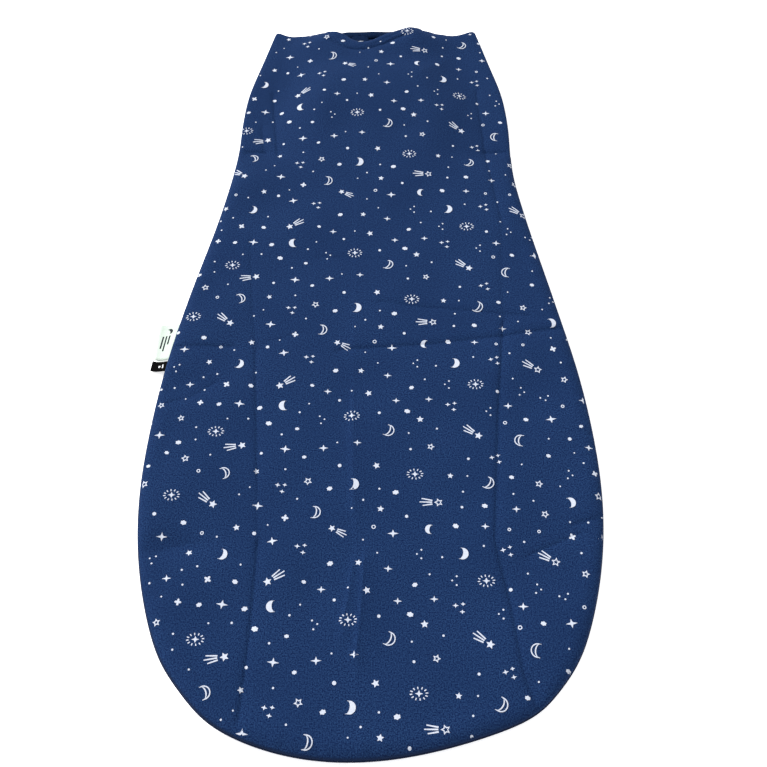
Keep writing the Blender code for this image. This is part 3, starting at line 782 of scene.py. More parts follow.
def thread(name, colour):
    """Twisted sewing thread."""
    made, tree, shader = material(name, Roughness=0.8, Sheen_Weight=0.05, Specular_IOR_Level=0.10)
    twist = node(tree, "ShaderNodeTexWave", {"bands_direction": "DIAGONAL"}, Vector=object_map(tree),
                 Scale=900.0, Distortion=1.5).outputs["Fac"]
    tone = blend_colours(tree, twist, shade(colour, 0.80), shade(colour, 1.25))
    surface(tree, shader, tone, twist, 0.4, 0.00005)
    return made


def hard(name, colour, rough, spread=0.10, coat=0.0):
    """Moulded resin or enamelled metal, with faint mottling and handling wear in its gloss."""
    made, tree, shader = material(name, Roughness=rough, Coat_Weight=coat, Coat_Roughness=0.15)
    place = object_map(tree)
    spots = noise(tree, place, 260.0, 3.0, 0.6)
    tone = blend_colours(tree, spots, shade(colour, 1.0 - spread), shade(colour, 1.0 + spread))
    surface(tree, shader, tone, spots, 0.15, 0.00008)
    gloss = remap(tree, noise(tree, place, 780.0, 2.0), 0.3, 0.7, rough * 0.8, rough * 1.25)
    tree.links.new(gloss, shader.inputs["Roughness"])
    return made


NAVY = (0.0062, 0.0212, 0.0762)
LOOK = {
    "navy_jersey": jersey("navy_jersey_cloth", NAVY),
    # The band and lining colours are the navy darkened to 0.50 and 0.42: painted shade standing in for the
    # dim inside of the neck opening.
    "navy_rib": jersey("navy_band_cloth_painted_shade", shade(NAVY, 0.50)[:3], wale=0.0010, gloss=0.02),
    "lining_jersey": jersey("lining_cloth_painted_shade", shade(NAVY, 0.42)[:3], wale=0.0012, heather=0.30, gloss=0.02),
    "print": ink("night_sky_print", (0.50, 0.535, 0.62)),
    "navy_thread": thread("navy_thread_look", (0.0055, 0.0125, 0.040)),
    "zip_tape": woven("zip_tape_weave", (0.012, 0.028, 0.085), pitch=0.0008, contrast=0.22),
    "zip_teeth": hard("zip_coil_nylon", (0.014, 0.030, 0.090), 0.42),
    "slider_enamel": hard("slider_enamel_look", (0.016, 0.034, 0.100), 0.30, coat=0.5),
    "stud_resin": hard("stud_resin_look", (0.78, 0.80, 0.82), 0.38, spread=0.03),
    "white_label": woven("white_label_weave", (0.500, 0.575, 0.515), contrast=0.05),
    "black_label": woven("black_label_weave", (0.0035, 0.0033, 0.0036), contrast=0.25, rough=0.95,
                         gloss=0.02),
    "tan_label": woven("tan_label_weave", (0.26, 0.11, 0.065), pitch=0.0006, contrast=0.18),
    "care_label_satin": woven("care_label_satin_look", (0.80, 0.80, 0.78), pitch=0.0004, contrast=0.04,
                              rough=0.45, sheen=0.1),
    "label_ink": woven("label_ink_look", (0.012, 0.016, 0.024), contrast=0.2),
    "label_ink_light": woven("label_ink_light_look", (0.70, 0.72, 0.74)),
}

# ---- outer covers ----
RING_POINTS = rings(STEP)


def slit_lines():
    """Fold lines of the armholes and the two ends of each flap."""
    lines = []
    for sign in (-1, 1):
        lines.append(resample([(sign * FOLD_X, FLAP_LOW), (sign * FOLD_X, FLAP_HIGH)], STEP * 0.8))
    for sign in (-1, 1):
        for y in (FLAP_LOW, FLAP_HIGH):
            width = float(half_width(y)) + 0.004
            line = resample([(sign * (FOLD_X + STEP), y), (sign * width, y)], STEP * 0.8)
            lines.append(line[inside(line, BACK_LOOP)])
    return lines


PAINTED_SHADE_SIDE = (0.45, 0.89)   # painted shade on the turned edge is darkest where it faces this way, towards the hem
BACK_LOOP = np.vstack([EDGE, BACK_NECK_LINE[1:-1]])


def hook(verts, rim, faces, drops):
    """Turns the cloth in under its edge: extra rows hung from the rim's points."""
    verts = list(verts)
    last = list(rim)
    for inwards, down in drops:
        fresh = []
        for k, index in enumerate(rim):
            place = np.array(verts[index])
            place[:2] += EDGE_IN[k] * inwards
            place[2] -= down
            verts.append(place)
            fresh.append(len(verts) - 1)
        for k in range(len(rim) - 1):
            faces.append((last[k], fresh[k], fresh[k + 1], last[k + 1]))
        last = fresh
    return verts, faces


def part_of(faces, chosen):
    """The points that some of the faces use, and those faces numbered by them."""
    part = [f for f, take in zip(faces, chosen) if take]
    used = sorted({i for f in part for i in f})
    index = {old: new for new, old in enumerate(used)}
    return used, [tuple(index[i] for i in f) for f in part]


def make_back():
    """The back layer as one surface, then split at the armholes' slits."""
    creased = crease_points()
    creased = creased[~close_to(creased, RING_POINTS, 0.0006)]
    flat, tris, rim = fill(BACK_LOOP, STEP, np.vstack([RING_POINTS, creased]), slit_lines())
    away, along = from_edge(flat)
    z = back_shape(flat, away, along)
    verts = np.column_stack([flat, z])
    faces = [tuple(t) for t in tris]
    hooked, all_faces = hook(verts, rim[:len(EDGE)], list(faces), ((0.0003, 0.0009), (0.0016, 0.0013)))
    hooked = np.array(hooked)
    middles = np.array([hooked[list(f)].mean(axis=0) for f in all_faces])
    flap = (np.abs(middles[:, 0]) > FOLD_X) & (middles[:, 1] > FLAP_LOW) & (middles[:, 1] < FLAP_HIGH)
    normals = vertex_normals(hooked, all_faces)
    tree = BVHTree.FromPolygons([Vector(v) for v in verts], faces)
    # Painted shade: points within about 1.6 mm of the edge that face the hem, away from the light, get a
    # weight that darkens the cloth.
    places = np.clip(np.searchsorted(EDGE_ALONG, along), 0, len(EDGE) - 1)
    facing = EDGE_IN[places] @ np.array(PAINTED_SHADE_SIDE)
    rim_shade = (1.0 - smooth((away - 0.0002) / 0.0014)) * np.clip((facing - 0.35) / 0.45, 0.0, 1.0)
    rim_shade = np.concatenate([rim_shade * (along > 0), np.zeros(len(hooked) - len(flat))])
    made = {}
    for name, chosen in (("main", ~flap), ("left", flap & (middles[:, 0] < 0)),
                         ("right", flap & (middles[:, 0] > 0))):
        used, part = part_of(all_faces, chosen)
        made[name] = (hooked[used], part, normals[used])
        RIM_SHADE[name] = rim_shade[used]
    return made, tree


def area_of(verts, faces):
    total = 0.0
    for f in faces:
        corners = verts[list(f)] - verts[f[0]]
        total += np.linalg.norm(np.cross(corners[1:-1], corners[2:]), axis=1).sum() / 2
    return float(total)


def cut_sheet(obj, verts, faces, size, rests_on=()):
    """Takes the smaller of a big piece's area and the area of its cloth rectangle, and keeps nothing."""
    min(area_of(verts, faces), size[0] * size[1])
    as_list(rests_on)


# The rectangles of cloth that the big pieces are cut from
BACK_CUT = (0.345, 0.705)
FRONT_CUT = (0.185, 0.715)
BACK_LINING_CUT = (0.335, 0.690)
FRONT_LINING_CUT = (0.165, 0.700)
RIM_SHADE = {}
BACK, BACK_TREE = make_back()
back_cover = shell_object("back_cover", *BACK["main"], PANEL_T, LOOK["navy_jersey"])
# The painted rim shade goes on the back cover as its rim attribute, on both sides of the shell.
painted_shade_layer = back_cover.data.attributes.new(name="rim", type="FLOAT", domain="POINT")
painted_shade_layer.data.foreach_set("value", np.concatenate([RIM_SHADE["main"], RIM_SHADE["main"]]).astype(np.float32))
put(back_cover, "back_outer_panel")
for side in ("left", "right"):
    cover = shell_object(f"arm_flap_cover_{side}", *BACK[side], PANEL_T, LOOK["navy_jersey"])
    put(cover, f"arm_flap_{side}", side)
    as_sheet(cover, True)


def front_zip_line(sign):
    """The folded edge of a front panel along the zip, from the hem up."""
    ys = np.linspace(-0.01, 0.72, 300)
    gap = mix(0.0004, ZIP_GAP, smooth((ys - ZIP_LOW + 0.014) / 0.008))
    return np.column_stack([ZIP_X + sign * gap, ys])


def make_front(sign):
    """One front panel: outer side down on the floor, folded up beside the zip."""
    neck = FRONT_NECK_LINE
    zip_line = front_zip_line(sign)
    edge_x = np.interp(EDGE[:, 1], zip_line[:, 1], zip_line[:, 0])
    own_edge = EDGE[(EDGE[:, 0] - edge_x) * sign > 0.0]
    own_neck = neck[(neck[:, 0] - ZIP_X) * sign > ZIP_GAP][::-1]
    own_neck = own_neck[1:] if sign > 0 else own_neck[:-1]
    bottom = own_edge[0 if sign > 0 else -1]
    top = own_neck[-1 if sign > 0 else 0]
    up = zip_line[(zip_line[:, 1] > bottom[1] + 0.001) & (zip_line[:, 1] < top[1] - 0.001)]
    up = resample(up, STEP)
    loop = np.vstack([own_edge, own_neck, up[::-1]] if sign > 0 else [own_neck, own_edge, up])
    flat, tris, _ = fill(loop, STEP, RING_POINTS)
    return on_layer(front_shape, flat), [t[::-1] for t in tris]


FRONT = {"left": make_front(-1), "right": make_front(1)}
FRONT_TREE = {}
for side, (verts, faces) in FRONT.items():
    FRONT_TREE[side] = BVHTree.FromPolygons([Vector(v) for v in verts], faces)
    cover = mesh_object(f"front_cover_{side}", verts, faces, LOOK["navy_jersey"])
    put(cover, f"front_{side}_outer_panel", thickness=PANEL_T)
    cut_sheet(cover, verts, faces, FRONT_CUT)
cut_sheet(back_cover, *BACK["main"][:2], BACK_CUT, ["lining_back"])

# ---- the print ----
REPEAT = 0.1625           # height after which the print comes again
CELL = 0.345              # width of one repeat
FRONT_PRINT = (0.021, 0.047)
PRINT_T = 0.00022


def fan(outline):
    """Triangles from the middle of a closed outline."""
    count = len(outline)
    return [(0.0, 0.0)] + outline, [(0, 1 + i, 1 + (i + 1) % count) for i in range(count)]


def band(outer, inner, closed=True):
    """Quads between two lines of the same length."""
    count = len(outer)
    last = count if closed else count - 1
    faces = [(i, (i + 1) % count, count + (i + 1) % count, count + i) for i in range(last)]
    return outer + inner, faces


def radial(radii, count, turn=math.pi / 2):
    out = []
    for i in range(count):
        r = radii[i % len(radii)]
        angle = turn + i * 2 * math.pi / count
        out.append((r * math.cos(angle), r * math.sin(angle)))
    return out


def joined(*shapes):
    verts = []
    faces = []
    for more, theirs in shapes:
        base = len(verts)
        verts += more
        faces += [tuple(base + i for i in f) for f in theirs]
    return verts, faces


def moved(shape, dx, dy, turn=0.0, scale=1.0):
    verts, faces = shape
    c = math.cos(turn) * scale
    s = math.sin(turn) * scale
    return [(x * c - y * s + dx, x * s + y * c + dy) for x, y in verts], faces


def dot(r):
    return fan(radial([r], 10))


def ring(r, stroke=0.0007):
    return band(radial([r], 12), radial([r - stroke], 12))


def flower(r):
    """A small lumpy blossom, wider than high."""
    loop = radial([r, r * 0.93, r * 0.76, r * 0.90], 24)
    return fan([(x * 1.16, y * 0.90) for x, y in loop])


def petals(r):
    """Four blunt petals."""
    return fan(radial([r, r * 0.80, r * 0.40, r * 0.76], 16))


def sparkle(r, waist=0.30):
    return fan(radial([r * 0.84, r * waist, r * 1.06, r * waist], 8))


def star(r):
    return fan(radial([r, r * 0.48], 10))


def open_star(r, stroke=0.0009):
    inner = 1.0 - 1.7 * stroke / r
    return band(radial([r, r * 0.50], 10), radial([r * inner, r * 0.50 * inner], 10))


def crescent_lines(height, thick, count=13):
    """Outer and inner arcs of a moon that opens to the left."""
    r = height / 2
    start = math.radians(116)
    outer = []
    inner = []
    for i in range(count):
        part = i / (count - 1)
        angle = start - part * 2 * start
        outer.append((r * math.cos(angle) * 0.96, r * math.sin(angle)))
        width = thick * math.sin(math.pi * part) ** 0.75 + 0.0001
        inner.append((r * math.cos(angle) * 0.96 - width, r * math.sin(angle) * (1.0 - 0.02 * width / thick)))
    return outer, inner


def moon(height, thick):
    return band(*crescent_lines(height, thick), closed=False)


def open_moon(height, thick, stroke=0.00085):
    """A moon drawn as a line: its outline with a smaller moon left open inside."""
    outer, inner = crescent_lines(height, thick, 15)
    r = height / 2
    open_outer = []
    open_inner = []
    for i in range(15):
        angle = math.radians(84.0 - 12.0 * i)
        part = 0.5 - math.degrees(angle) / 232.0
        width = max(thick * math.sin(math.pi * part) ** 0.75 - 1.9 * stroke, 0.0001)
        x = (r - stroke) * math.cos(angle) * 0.96
        y = (r - stroke) * math.sin(angle)
        open_outer.append((x, y))
        open_inner.append((x - width, y))
    return band(outer + inner[::-1][1:-1], open_outer + open_inner[::-1][1:-1])


def bar(a, b, thick_a, thick_b):
    """A stroke between two points, cut in short pieces."""
    a = np.array(a)
    b = np.array(b)
    way = (b - a) / np.linalg.norm(b - a)
    side = np.array([-way[1], way[0]])
    rows = []
    for half in (-0.5, 0.5):
        parts = np.linspace(0.0, 1.0, 6)
        rows.append([tuple(mix(a, b, t) + side * mix(thick_a, thick_b, t) * half) for t in parts])
    return band(*rows, closed=False)


def comet(outlined=False, size=1.0):
    """A star with a tail of three strokes to its left."""
    head = open_star(0.0034) if outlined else star(0.0032)
    tail = [bar((-0.0125, 0.0030), (-0.0046, 0.0015), 0.0008, 0.0011),
            bar((-0.0140, 0.0002), (-0.0048, 0.0001), 0.0008, 0.0011),
            bar((-0.0118, -0.0026), (-0.0046, -0.0014), 0.0008, 0.0011)]
    return moved(joined(moved(head, 0.0, 0.0, 0.3), *tail), 0.005 * size, 0.0, 0.0, size)


def sunburst():
    """A small sparkle inside an oval of dashes."""
    parts = [fan([(x * 1.25, y) for x, y in radial([0.0024, 0.0009, 0.0022, 0.0009], 8)])]
    for x, y in radial([1.0], 12, 0.13):
        parts.append(bar((0.0045 * x, 0.0030 * y), (0.0062 * x, 0.0045 * y), 0.00070, 0.00080))
    return joined(*parts)


def dots3():
    return joined(moved(dot(0.00070), -0.0030, 0.0018), moved(dot(0.00065), 0.0004, -0.0012),
                  moved(dot(0.00070), 0.0034, 0.0022))


def sparkles3():
    return joined(moved(sparkle(0.0021, 0.36), -0.0030, 0.0018), moved(sparkle(0.0017, 0.4), 0.0022, 0.0030),
                  moved(sparkle(0.0019, 0.38), 0.0016, -0.0026))


MAJOR = [                 # x, y within a repeat, motif, turn in degrees, reach kept free
    (0.045, 0.0180, comet(True), 0, 0.012), (0.078, 0.0770, comet(), -35, 0.012),
    (0.128, 0.1370, comet(True), -30, 0.012), (-0.068, 0.1220, comet(), 215, 0.012),
    (-0.103, 0.0650, comet(), 10, 0.012), (-0.120, 0.0200, comet(), -38, 0.012),
    (-0.024, 0.1580, comet(False, 0.85), 155, 0.011),
    (0.082, 0.1200, sunburst(), 0, 0.0085), (-0.015, 0.0910, sunburst(), 0, 0.0085),
    (0.033, 0.0410, sunburst(), 0, 0.0085), (-0.119, 0.0780, sunburst(), 0, 0.0085),
    (-0.147, 0.0240, sunburst(), 0, 0.0085),
    (0.066, 0.1400, moon(0.0088, 0.0038), -12, 0.0075), (-0.013, 0.0320, moon(0.0090, 0.0040), -8, 0.0075),
    (-0.106, 0.1400, moon(0.0082, 0.0032), -20, 0.0070), (-0.068, 0.1010, moon(0.0084, 0.0038), 186, 0.0075),
    (0.147, 0.0180, moon(0.0082, 0.0034), 12, 0.0070), (0.043, 0.1590, moon(0.0072, 0.0030), 172, 0.0065),
    (0.013, 0.0780, open_moon(0.0100, 0.0038), -25, 0.0078),
    (-0.041, 0.0100, open_moon(0.0098, 0.0036), -8, 0.0078),
    (0.114, 0.0700, open_moon(0.0100, 0.0036), 170, 0.0078),
    (0.087, 0.0340, open_moon(0.0100, 0.0036), -30, 0.0078),
    (-0.110, 0.0420, open_moon(0.0096, 0.0034), 20, 0.0078),
]
SMALL = [                 # motif, smallest and largest size, reach kept free, turn, how many
    (sparkle, 0.0029, 0.0040, 0.0052, 0.15, 22), (open_star, 0.0028, 0.0033, 0.0052, 3.0, 10),
    (star, 0.0023, 0.0029, 0.0050, 3.0, 10), (sparkles3, 0.0, 0.0, 0.0068, 0.6, 5),
    (dots3, 0.0, 0.0, 0.0062, 3.0, 8), (petals, 0.0024, 0.0029, 0.0048, 3.0, 5),
    (flower, 0.0015, 0.0022, 0.0044, 0.5, 24), (ring, 0.0013, 0.0017, 0.0040, 0.0, 7),
    (dot, 0.0010, 0.0015, 0.0036, 0.0, 14), (dot, 0.00060, 0.00085, 0.0032, 0.0, 48),
]


def roomiest(rng, placed, reach):
    """Of a few places in a repeat, the one with the most room around it."""
    best = None
    for _ in range(26):
        x = rng.uniform(-CELL / 2, CELL / 2)
        y = rng.uniform(0.0, REPEAT)
        room = 9.0
        for px, py, _, _, other in placed:
            dy = min(abs(y - py), REPEAT - abs(y - py))
            room = min(room, math.hypot(x - px, dy) - other - reach)
        if best is None or room > best[0]:
            best = (room, x, y)
    return best


def print_cell():
    """The big motifs, then small ones thrown in between them from a fixed seed."""
    rng = random.Random(11)
    placed = [(x, y, shape, math.radians(turn), reach) for x, y, shape, turn, reach in MAJOR]
    for motif, small, large, reach, turn, count in SMALL:
        for _ in range(count):
            room, x, y = roomiest(rng, placed, reach)
            if room > 0.0004:
                shape = motif(rng.uniform(small, large)) if large else motif()
                placed.append((x, y, shape, rng.uniform(-turn, turn), reach))
    return placed


CELL_MOTIFS = print_cell()


def drop(tree, shape, place, from_below=False, height=0.08, lift=0.00013):
    """A flat shape's points dropped on a surface, and its faces less those that miss it."""
    down = Vector((0.0, 0.0, 1.0 if from_below else -1.0))
    verts = []
    index = {}
    for i, point in enumerate(shape[0]):
        x, y = place(point)
        hit, normal, _, _ = tree.ray_cast(Vector((x, y, height)), down)
        if hit is None or abs(normal.z) < 0.30:
            continue
        if normal.dot(down) > 0:
            normal = -normal
        index[i] = len(verts)
        verts.append(tuple(hit + normal * lift))
    return verts, [tuple(index[i] for i in f) for f in shape[1] if all(i in index for i in f)]


def lay_print(tree, from_below=False):
    """The print on the back, or mirrored and shifted on the front."""
    def place(point):
        return (FRONT_PRINT[0] - point[0], FRONT_PRINT[1] + point[1]) if from_below else point
    parts = []
    for level in range(-1, 6):
        for x, y, shape, turn, _ in CELL_MOTIFS:
            motif = moved(shape, x, y + level * REPEAT, turn)
            parts.append(drop(tree, motif, place, from_below, -0.05 if from_below else 0.08))
    verts, faces = joined(*parts)
    return np.array(verts), faces


def print_back():
    verts, faces = lay_print(BACK_TREE)
    groups = []
    for f in faces:
        x = np.abs(verts[list(f), 0])
        y = verts[list(f), 1]
        outer = (x > FOLD_X).any()
        level = ((y > FLAP_LOW + 0.0004) & (y < FLAP_HIGH - 0.0004)).all()
        clear = (y < FLAP_LOW - 0.0004).all() or (y > FLAP_HIGH + 0.0004).all()
        if not outer or clear:
            groups.append("main")
        elif level:
            groups.append("left" if verts[f[0], 0] < 0 else "right")
        else:
            groups.append("none")
    for name in ("main", "left", "right"):
        used, part = part_of(faces, [g == name for g in groups])
        obj = mesh_object(f"print_back_{name}", verts[used], part, LOOK["print"], flat_shade=True)
        put(obj, flap=None if name == "main" else name, thickness=PRINT_T)


print_back()
for side, _ in SIDES:
    verts, faces = lay_print(FRONT_TREE[side], True)
    obj = mesh_object(f"print_front_{side}", verts, faces, LOOK["print"], flat_shade=True)
    put(obj, thickness=PRINT_T)

# ---- neck rolls, side, hem and shoulder seams ----
BACK_ROLL = [             # sections: how far inside the line, how high
    (0.0004, 0.0000), (-0.0001, -0.0004), (-0.0002, -0.0012), (0.0001, -0.0020), (0.0010, -0.0026),
    (0.0030, -0.0022), (0.0060, -0.0012), (0.0090, -0.0004), (0.0090, 0.0004), (0.0060, -0.0003),
    (0.0030, -0.0012), (0.0014, -0.0014), (0.0012, -0.0008),
]
FRONT_ROLL = [
    (0.0070, -0.0001), (0.0030, -0.0001), (0.0008, 0.0000), (-0.0004, 0.0006), (-0.0006, 0.0016),
    (-0.0001, 0.0026), (0.0012, 0.0031), (0.0050, 0.0032), (0.0095, 0.0026), (0.0095, 0.0018),
    (0.0050, 0.0023), (0.0016, 0.0022), (0.0010, 0.0016), (0.0016, 0.0011), (0.0040, 0.0009),
    (0.0070, 0.0007),
]
SEAM = [
    (-0.0007, -0.0002), (-0.0007, 0.0004), (-0.0002, 0.0009), (0.0010, 0.0011), (0.0022, 0.0012),
    (0.0036, 0.0009), (0.0042, 0.0002), (0.0036, -0.0006), (0.0018, -0.0008), (0.0002, -0.0007),
]
SEAM_Z = 0.0058
SHOULDER_Z = 0.0064
SHOULDER_SWELL = 1.25     # the shoulder seams are thicker than the side seams


def make_neck_rolls():
    path = on_layer(back_shape, BACK_NECK_LINE[2:-2])
    inwards = normals_of(BACK_NECK_LINE)[2:-2]
    roll = swept("back_neck_roll", path, inwards, BACK_ROLL[::-1], LOOK["navy_jersey"])
    put(roll, "back_neck_band")
    as_sheet(roll, True)
    neck = FRONT_NECK_LINE
    for side, sign in SIDES:
        own = neck[(neck[:, 0] - ZIP_X) * sign > 0.0010]
        middle = ZIP_X - sign * 0.0008
        joint = [middle, np.interp(middle, neck[:, 0], neck[:, 1])]
        own = np.vstack([own[2:], [joint]]) if sign < 0 else np.vstack([[joint], own[:-2]])
        path = on_layer(front_shape, own)
        roll = swept(f"front_neck_roll_{side}", path, -normals_of(own), FRONT_ROLL, LOOK["navy_rib"])
        put(roll, f"front_{side}_neck_band")
        as_sheet(roll, True)


def make_seam(name, node_name, ids, z, swell=1.0):
    """A seam along some of the closed edge's points."""
    path = np.column_stack([EDGE[ids], np.full(len(ids), z)])
    section = [(a, b * swell) for a, b in SEAM[::-1]]
    seam = swept(name, path, EDGE_IN[ids], section, LOOK["navy_thread"])
    put(seam, node_name)
    as_sheet(seam, True)


make_neck_rolls()
make_seam("edge_seam", "hem_and_side_seam", np.nonzero(EDGE[:, 1] < FLAP_LOW - 0.002)[0], SEAM_Z)
for side, sign in SIDES:
    shoulder = np.nonzero((EDGE[:, 1] > FLAP_HIGH + 0.002) & (EDGE[:, 0] * sign > 0))[0]
    make_seam(f"shoulder_seam_cloth_{side}", f"shoulder_seam_{side}", shoulder, SHOULDER_Z, SHOULDER_SWELL)

# ---- linings ----
def inset_loop(loop, gap):
    """A loop moved inwards, with the points that would cross left out."""
    way = np.roll(loop, -1, axis=0) - np.roll(loop, 1, axis=0)
    way /= np.linalg.norm(way, axis=1)[:, None]
    moved_loop = loop + np.column_stack([-way[:, 1], way[:, 0]]) * gap
    gaps = close_to(moved_loop, loop, gap * 0.93)
    return moved_loop[~gaps]


def make_lining_back():
    loop = inset_loop(BACK_LOOP, 0.0048)
    keep = ~((np.abs(loop[:, 0]) > FOLD_X - 0.004) & (loop[:, 1] > FLAP_LOW - 0.006))
    loop = loop[keep]
    flat, tris, _ = fill(resample(np.vstack([loop, loop[:1]]), COARSE)[:-1], COARSE)
    away, along = from_edge(flat)
    z = np.minimum(back_shape(flat, away, along, True), back_shape(flat, away, along))
    z = z - 0.0030 + waves(flat[:, 0], flat[:, 1], 5, 0.0002)
    z = np.maximum(z, 0.0066)
    verts = np.column_stack([flat, z])
    obj = mesh_object("lining_back", verts, tris, LOOK["lining_jersey"])
    put(obj, "back_lining", thickness=LINING_T)
    cut_sheet(obj, verts, tris, BACK_LINING_CUT, ["lining_front_left", "lining_front_right"])


def make_lining_front():
    loop = inset_loop(np.vstack([EDGE, FRONT_NECK_LINE[::-1][1:-1]]), 0.0055)
    for side, sign in SIDES:
        limit = ZIP_X + sign * 0.0165
        half = loop[(loop[:, 0] - limit) * sign > 0.0]
        middle = (half[:, 0].mean(), half[:, 1].mean())
        angle = np.arctan2(half[:, 1] - middle[1], half[:, 0] - middle[0])
        half = half[np.argsort(angle)]
        flat, tris, _ = fill(resample(np.vstack([half, half[:1]]), COARSE)[:-1], COARSE)
        verts = on_layer(front_shape, flat, 0.0033, True)
        obj = mesh_object(f"lining_front_{side}", verts, tris, LOOK["lining_jersey"])
        put(obj, f"front_{side}_lining", thickness=LINING_T)
        cut_sheet(obj, verts, tris, FRONT_LINING_CUT, [f"front_cover_{side}"])


make_lining_back()
make_lining_front()

FLAP_LINING_Z = 0.0090
ARM_LINING_Z = 0.0046


def facing(name, sign, x_in, low, high, z):
    """A facing beside an armhole, from a straight inner edge to the bag's edge."""
    def place(part, y):
        x = mix(x_in, float(half_width(y)) - 0.0052, part)
        return sign * x, y, z + 0.0001 * math.sin(y * 400.0)
    ys = np.arange(low, high + 0.00175, 0.0035)
    return patch(name, ys, np.linspace(0.0, 1.0, 9), place, LOOK["lining_jersey"], sign < 0)


def make_facings():
    low = FLAP_LOW + 0.0015
    high = FLAP_HIGH - 0.0015
    for side, sign in SIDES:
        flap = facing(f"flap_lining_{side}", sign, FOLD_X + 0.0006, low, high, FLAP_LINING_Z)
        put(flap, f"flap_facing_{side}", side, LINING_T)
        as_sheet(flap)
        arm = facing(f"arm_lining_{side}", sign, FOLD_X - 0.003, low - 0.001, high + 0.001, ARM_LINING_Z)
        put(arm, f"arm_facing_{side}", thickness=LINING_T)
        as_sheet(arm)


make_facings()

# ---- the zip ----
COIL_PITCH = 0.0016
COIL = [                  # one turn: distance from the zip's middle, half length, half height
    (0.0031, 0.00042, 0.00085), (0.0024, 0.00046, 0.00100), (0.0012, 0.00046, 0.00100),
    (0.00062, 0.00052, 0.00090), (0.00045, 0.00030, 0.00055),
]
TAPE_COLUMNS = (0.0032, 0.0050, 0.0080, 0.0115, 0.0150)
GUARD_Z = 0.0088
CHIN_MOVE = (0.0, -0.0075, 0.0003)
CHIN_SIZE = (1.42, 0.90, 0.48)


def make_coils():
    """Both rows of coil turns, meshed with each other."""
    for side, sign in SIDES:
        verts = []
        faces = []
        for n in range(int((ZIP_HIGH - ZIP_LOW) / COIL_PITCH)):
            y = ZIP_LOW + (n + (0.25 if sign < 0 else 0.75)) * COIL_PITCH
            faces += tube_faces(len(COIL), 6, len(verts), sign > 0)
            for x, half_y, half_z in COIL:
                for along, up in radial([1.0], 6, math.pi / 6):
                    verts.append((ZIP_X + sign * x, y + half_y * along, ZIP_Z + half_z * up))
        coil = mesh_object(f"zip_coil_{side}", verts, faces, LOOK["zip_teeth"])
        put(coil, f"zip_teeth_{side}")


def make_tape(side, sign):
    def place(x, y):
        return ZIP_X + sign * x, y, ZIP_Z + 0.00025 + 0.00006 * math.sin(y * 260.0 + x * 500.0)
    ys = np.arange(ZIP_LOW - 0.004, ZIP_HIGH + 0.0035, 0.004)
    tape = patch(f"zip_tape_cloth_{side}", ys, TAPE_COLUMNS, place, LOOK["zip_tape"], sign < 0)
    put(tape, f"zip_tape_{side}", thickness=0.0005)


def make_guard():
    def place(x, y):
        return ZIP_X + x, y, GUARD_Z + 0.00015 * math.sin(y * 150.0 + x * 90.0)
    ys = np.arange(ZIP_LOW - 0.003, ZIP_HIGH + 0.0035, 0.0045)
    guard = patch("zip_guard_cloth", ys, np.linspace(-0.016, 0.016, 9), place, LOOK["lining_jersey"])
    put(guard, "zip_guard", thickness=0.0007)


def make_chin_guard():
    """A small soft fold over the zip's top end."""
    low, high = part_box("chin_guard")
    middle = (np.array(low) + np.array(high)) / 2 - SHIFT + np.array(CHIN_MOVE)
    half = (np.array(high) - np.array(low)) / 2 * np.array(CHIN_SIZE)
    verts = []
    rows = 20
    turns = 28
    for j in range(rows + 1):
        lift = math.sin(math.pi * (j / rows - 0.5))
        girth = max(0.02, 1.0 - abs(lift) ** 4.0) ** 0.30 * (1.0 - 0.10 * abs(lift))
        for i in range(turns):
            cx, cy = math.cos(2 * math.pi * i / turns), math.sin(2 * math.pi * i / turns)
            size = girth * (abs(cx) ** 4 + abs(cy) ** 4) ** -0.25
            verts.append(middle + half * np.array([cx * size, cy * size, lift]))
    guard = mesh_object("chin_guard_cloth", verts, tube_faces(rows + 1, turns), LOOK["navy_rib"])
    put(guard, "chin_guard")


make_coils()
make_tape("left", -1)
make_tape("right", 1)
make_guard()
make_chin_guard()

# ---- stitching ----
def make_stitching():
    rows = []
    for sign in (-1, 1):
        line = front_zip_line(sign)
        line = line[(line[:, 1] > ZIP_LOW - 0.006) & (line[:, 1] < ZIP_HIGH + 0.022)]
        rows.append(on_layer(front_shape, line + np.array([sign * 0.0022, 0.0]), -0.00012))
    stitches("zip_topstitch", rows)
    rows = []
    for sign in (-1, 1):
        own = FRONT_NECK_LINE[(FRONT_NECK_LINE[:, 0] - ZIP_X) * sign > 0.0110]
        rows.append(on_layer(front_shape, own - normals_of(own) * 0.0078, -0.00010))
    stitches("front_neck_topstitch", rows)
    for side, sign in SIDES:
        ys = np.linspace(FLAP_LOW + 0.003, FLAP_HIGH - 0.003, 60)
        line = np.column_stack([sign * (half_width(ys) - 0.0042), ys])
        stitches(f"arm_topstitch_{side}", [on_layer(front_shape, line, -0.00010)])


make_stitching()

# ---- labels ----
TAG_Z = 0.0072
TAG_SEWN = 0.0012         # how far a tag reaches into the seam


def side_tag(name, low_y, high_y, reach, top_reach, slant, sink, thickness, slot):
    """A folded label sewn in the left side seam, drooping to the ground outside the bag."""
    def place(up, part):
        y = mix(low_y, high_y, up)
        x = TAG_SEWN - float(half_width(y)) - mix(reach, top_reach, up) * part
        curl = 0.0004 * math.sin(part * math.pi) * math.cos(up * math.pi)
        return x, y - slant * part, TAG_Z - sink * smooth(part * 1.15) + curl
    parts = np.linspace(0.0, 1.0, 11)
    obj = patch(f"{name}_cloth", parts, np.linspace(0.0, 1.0, 13), place, LOOK[slot])
    put(obj, name, thickness=thickness)
    as_sheet(obj)
    return obj


def marks_on(name, target, shapes, paint):
    """Generic marks laid on a label."""
    points = [v.co - Vector(SHIFT) for v in target.data.vertices]
    tree = BVHTree.FromPolygons(points, [tuple(p.vertices) for p in target.data.polygons])
    parts = [drop(tree, shape, tuple, False, 0.05, 0.0001) for shape in shapes]
    obj = mesh_object(name, *joined(*parts), paint)
    put(obj, thickness=0.00015)


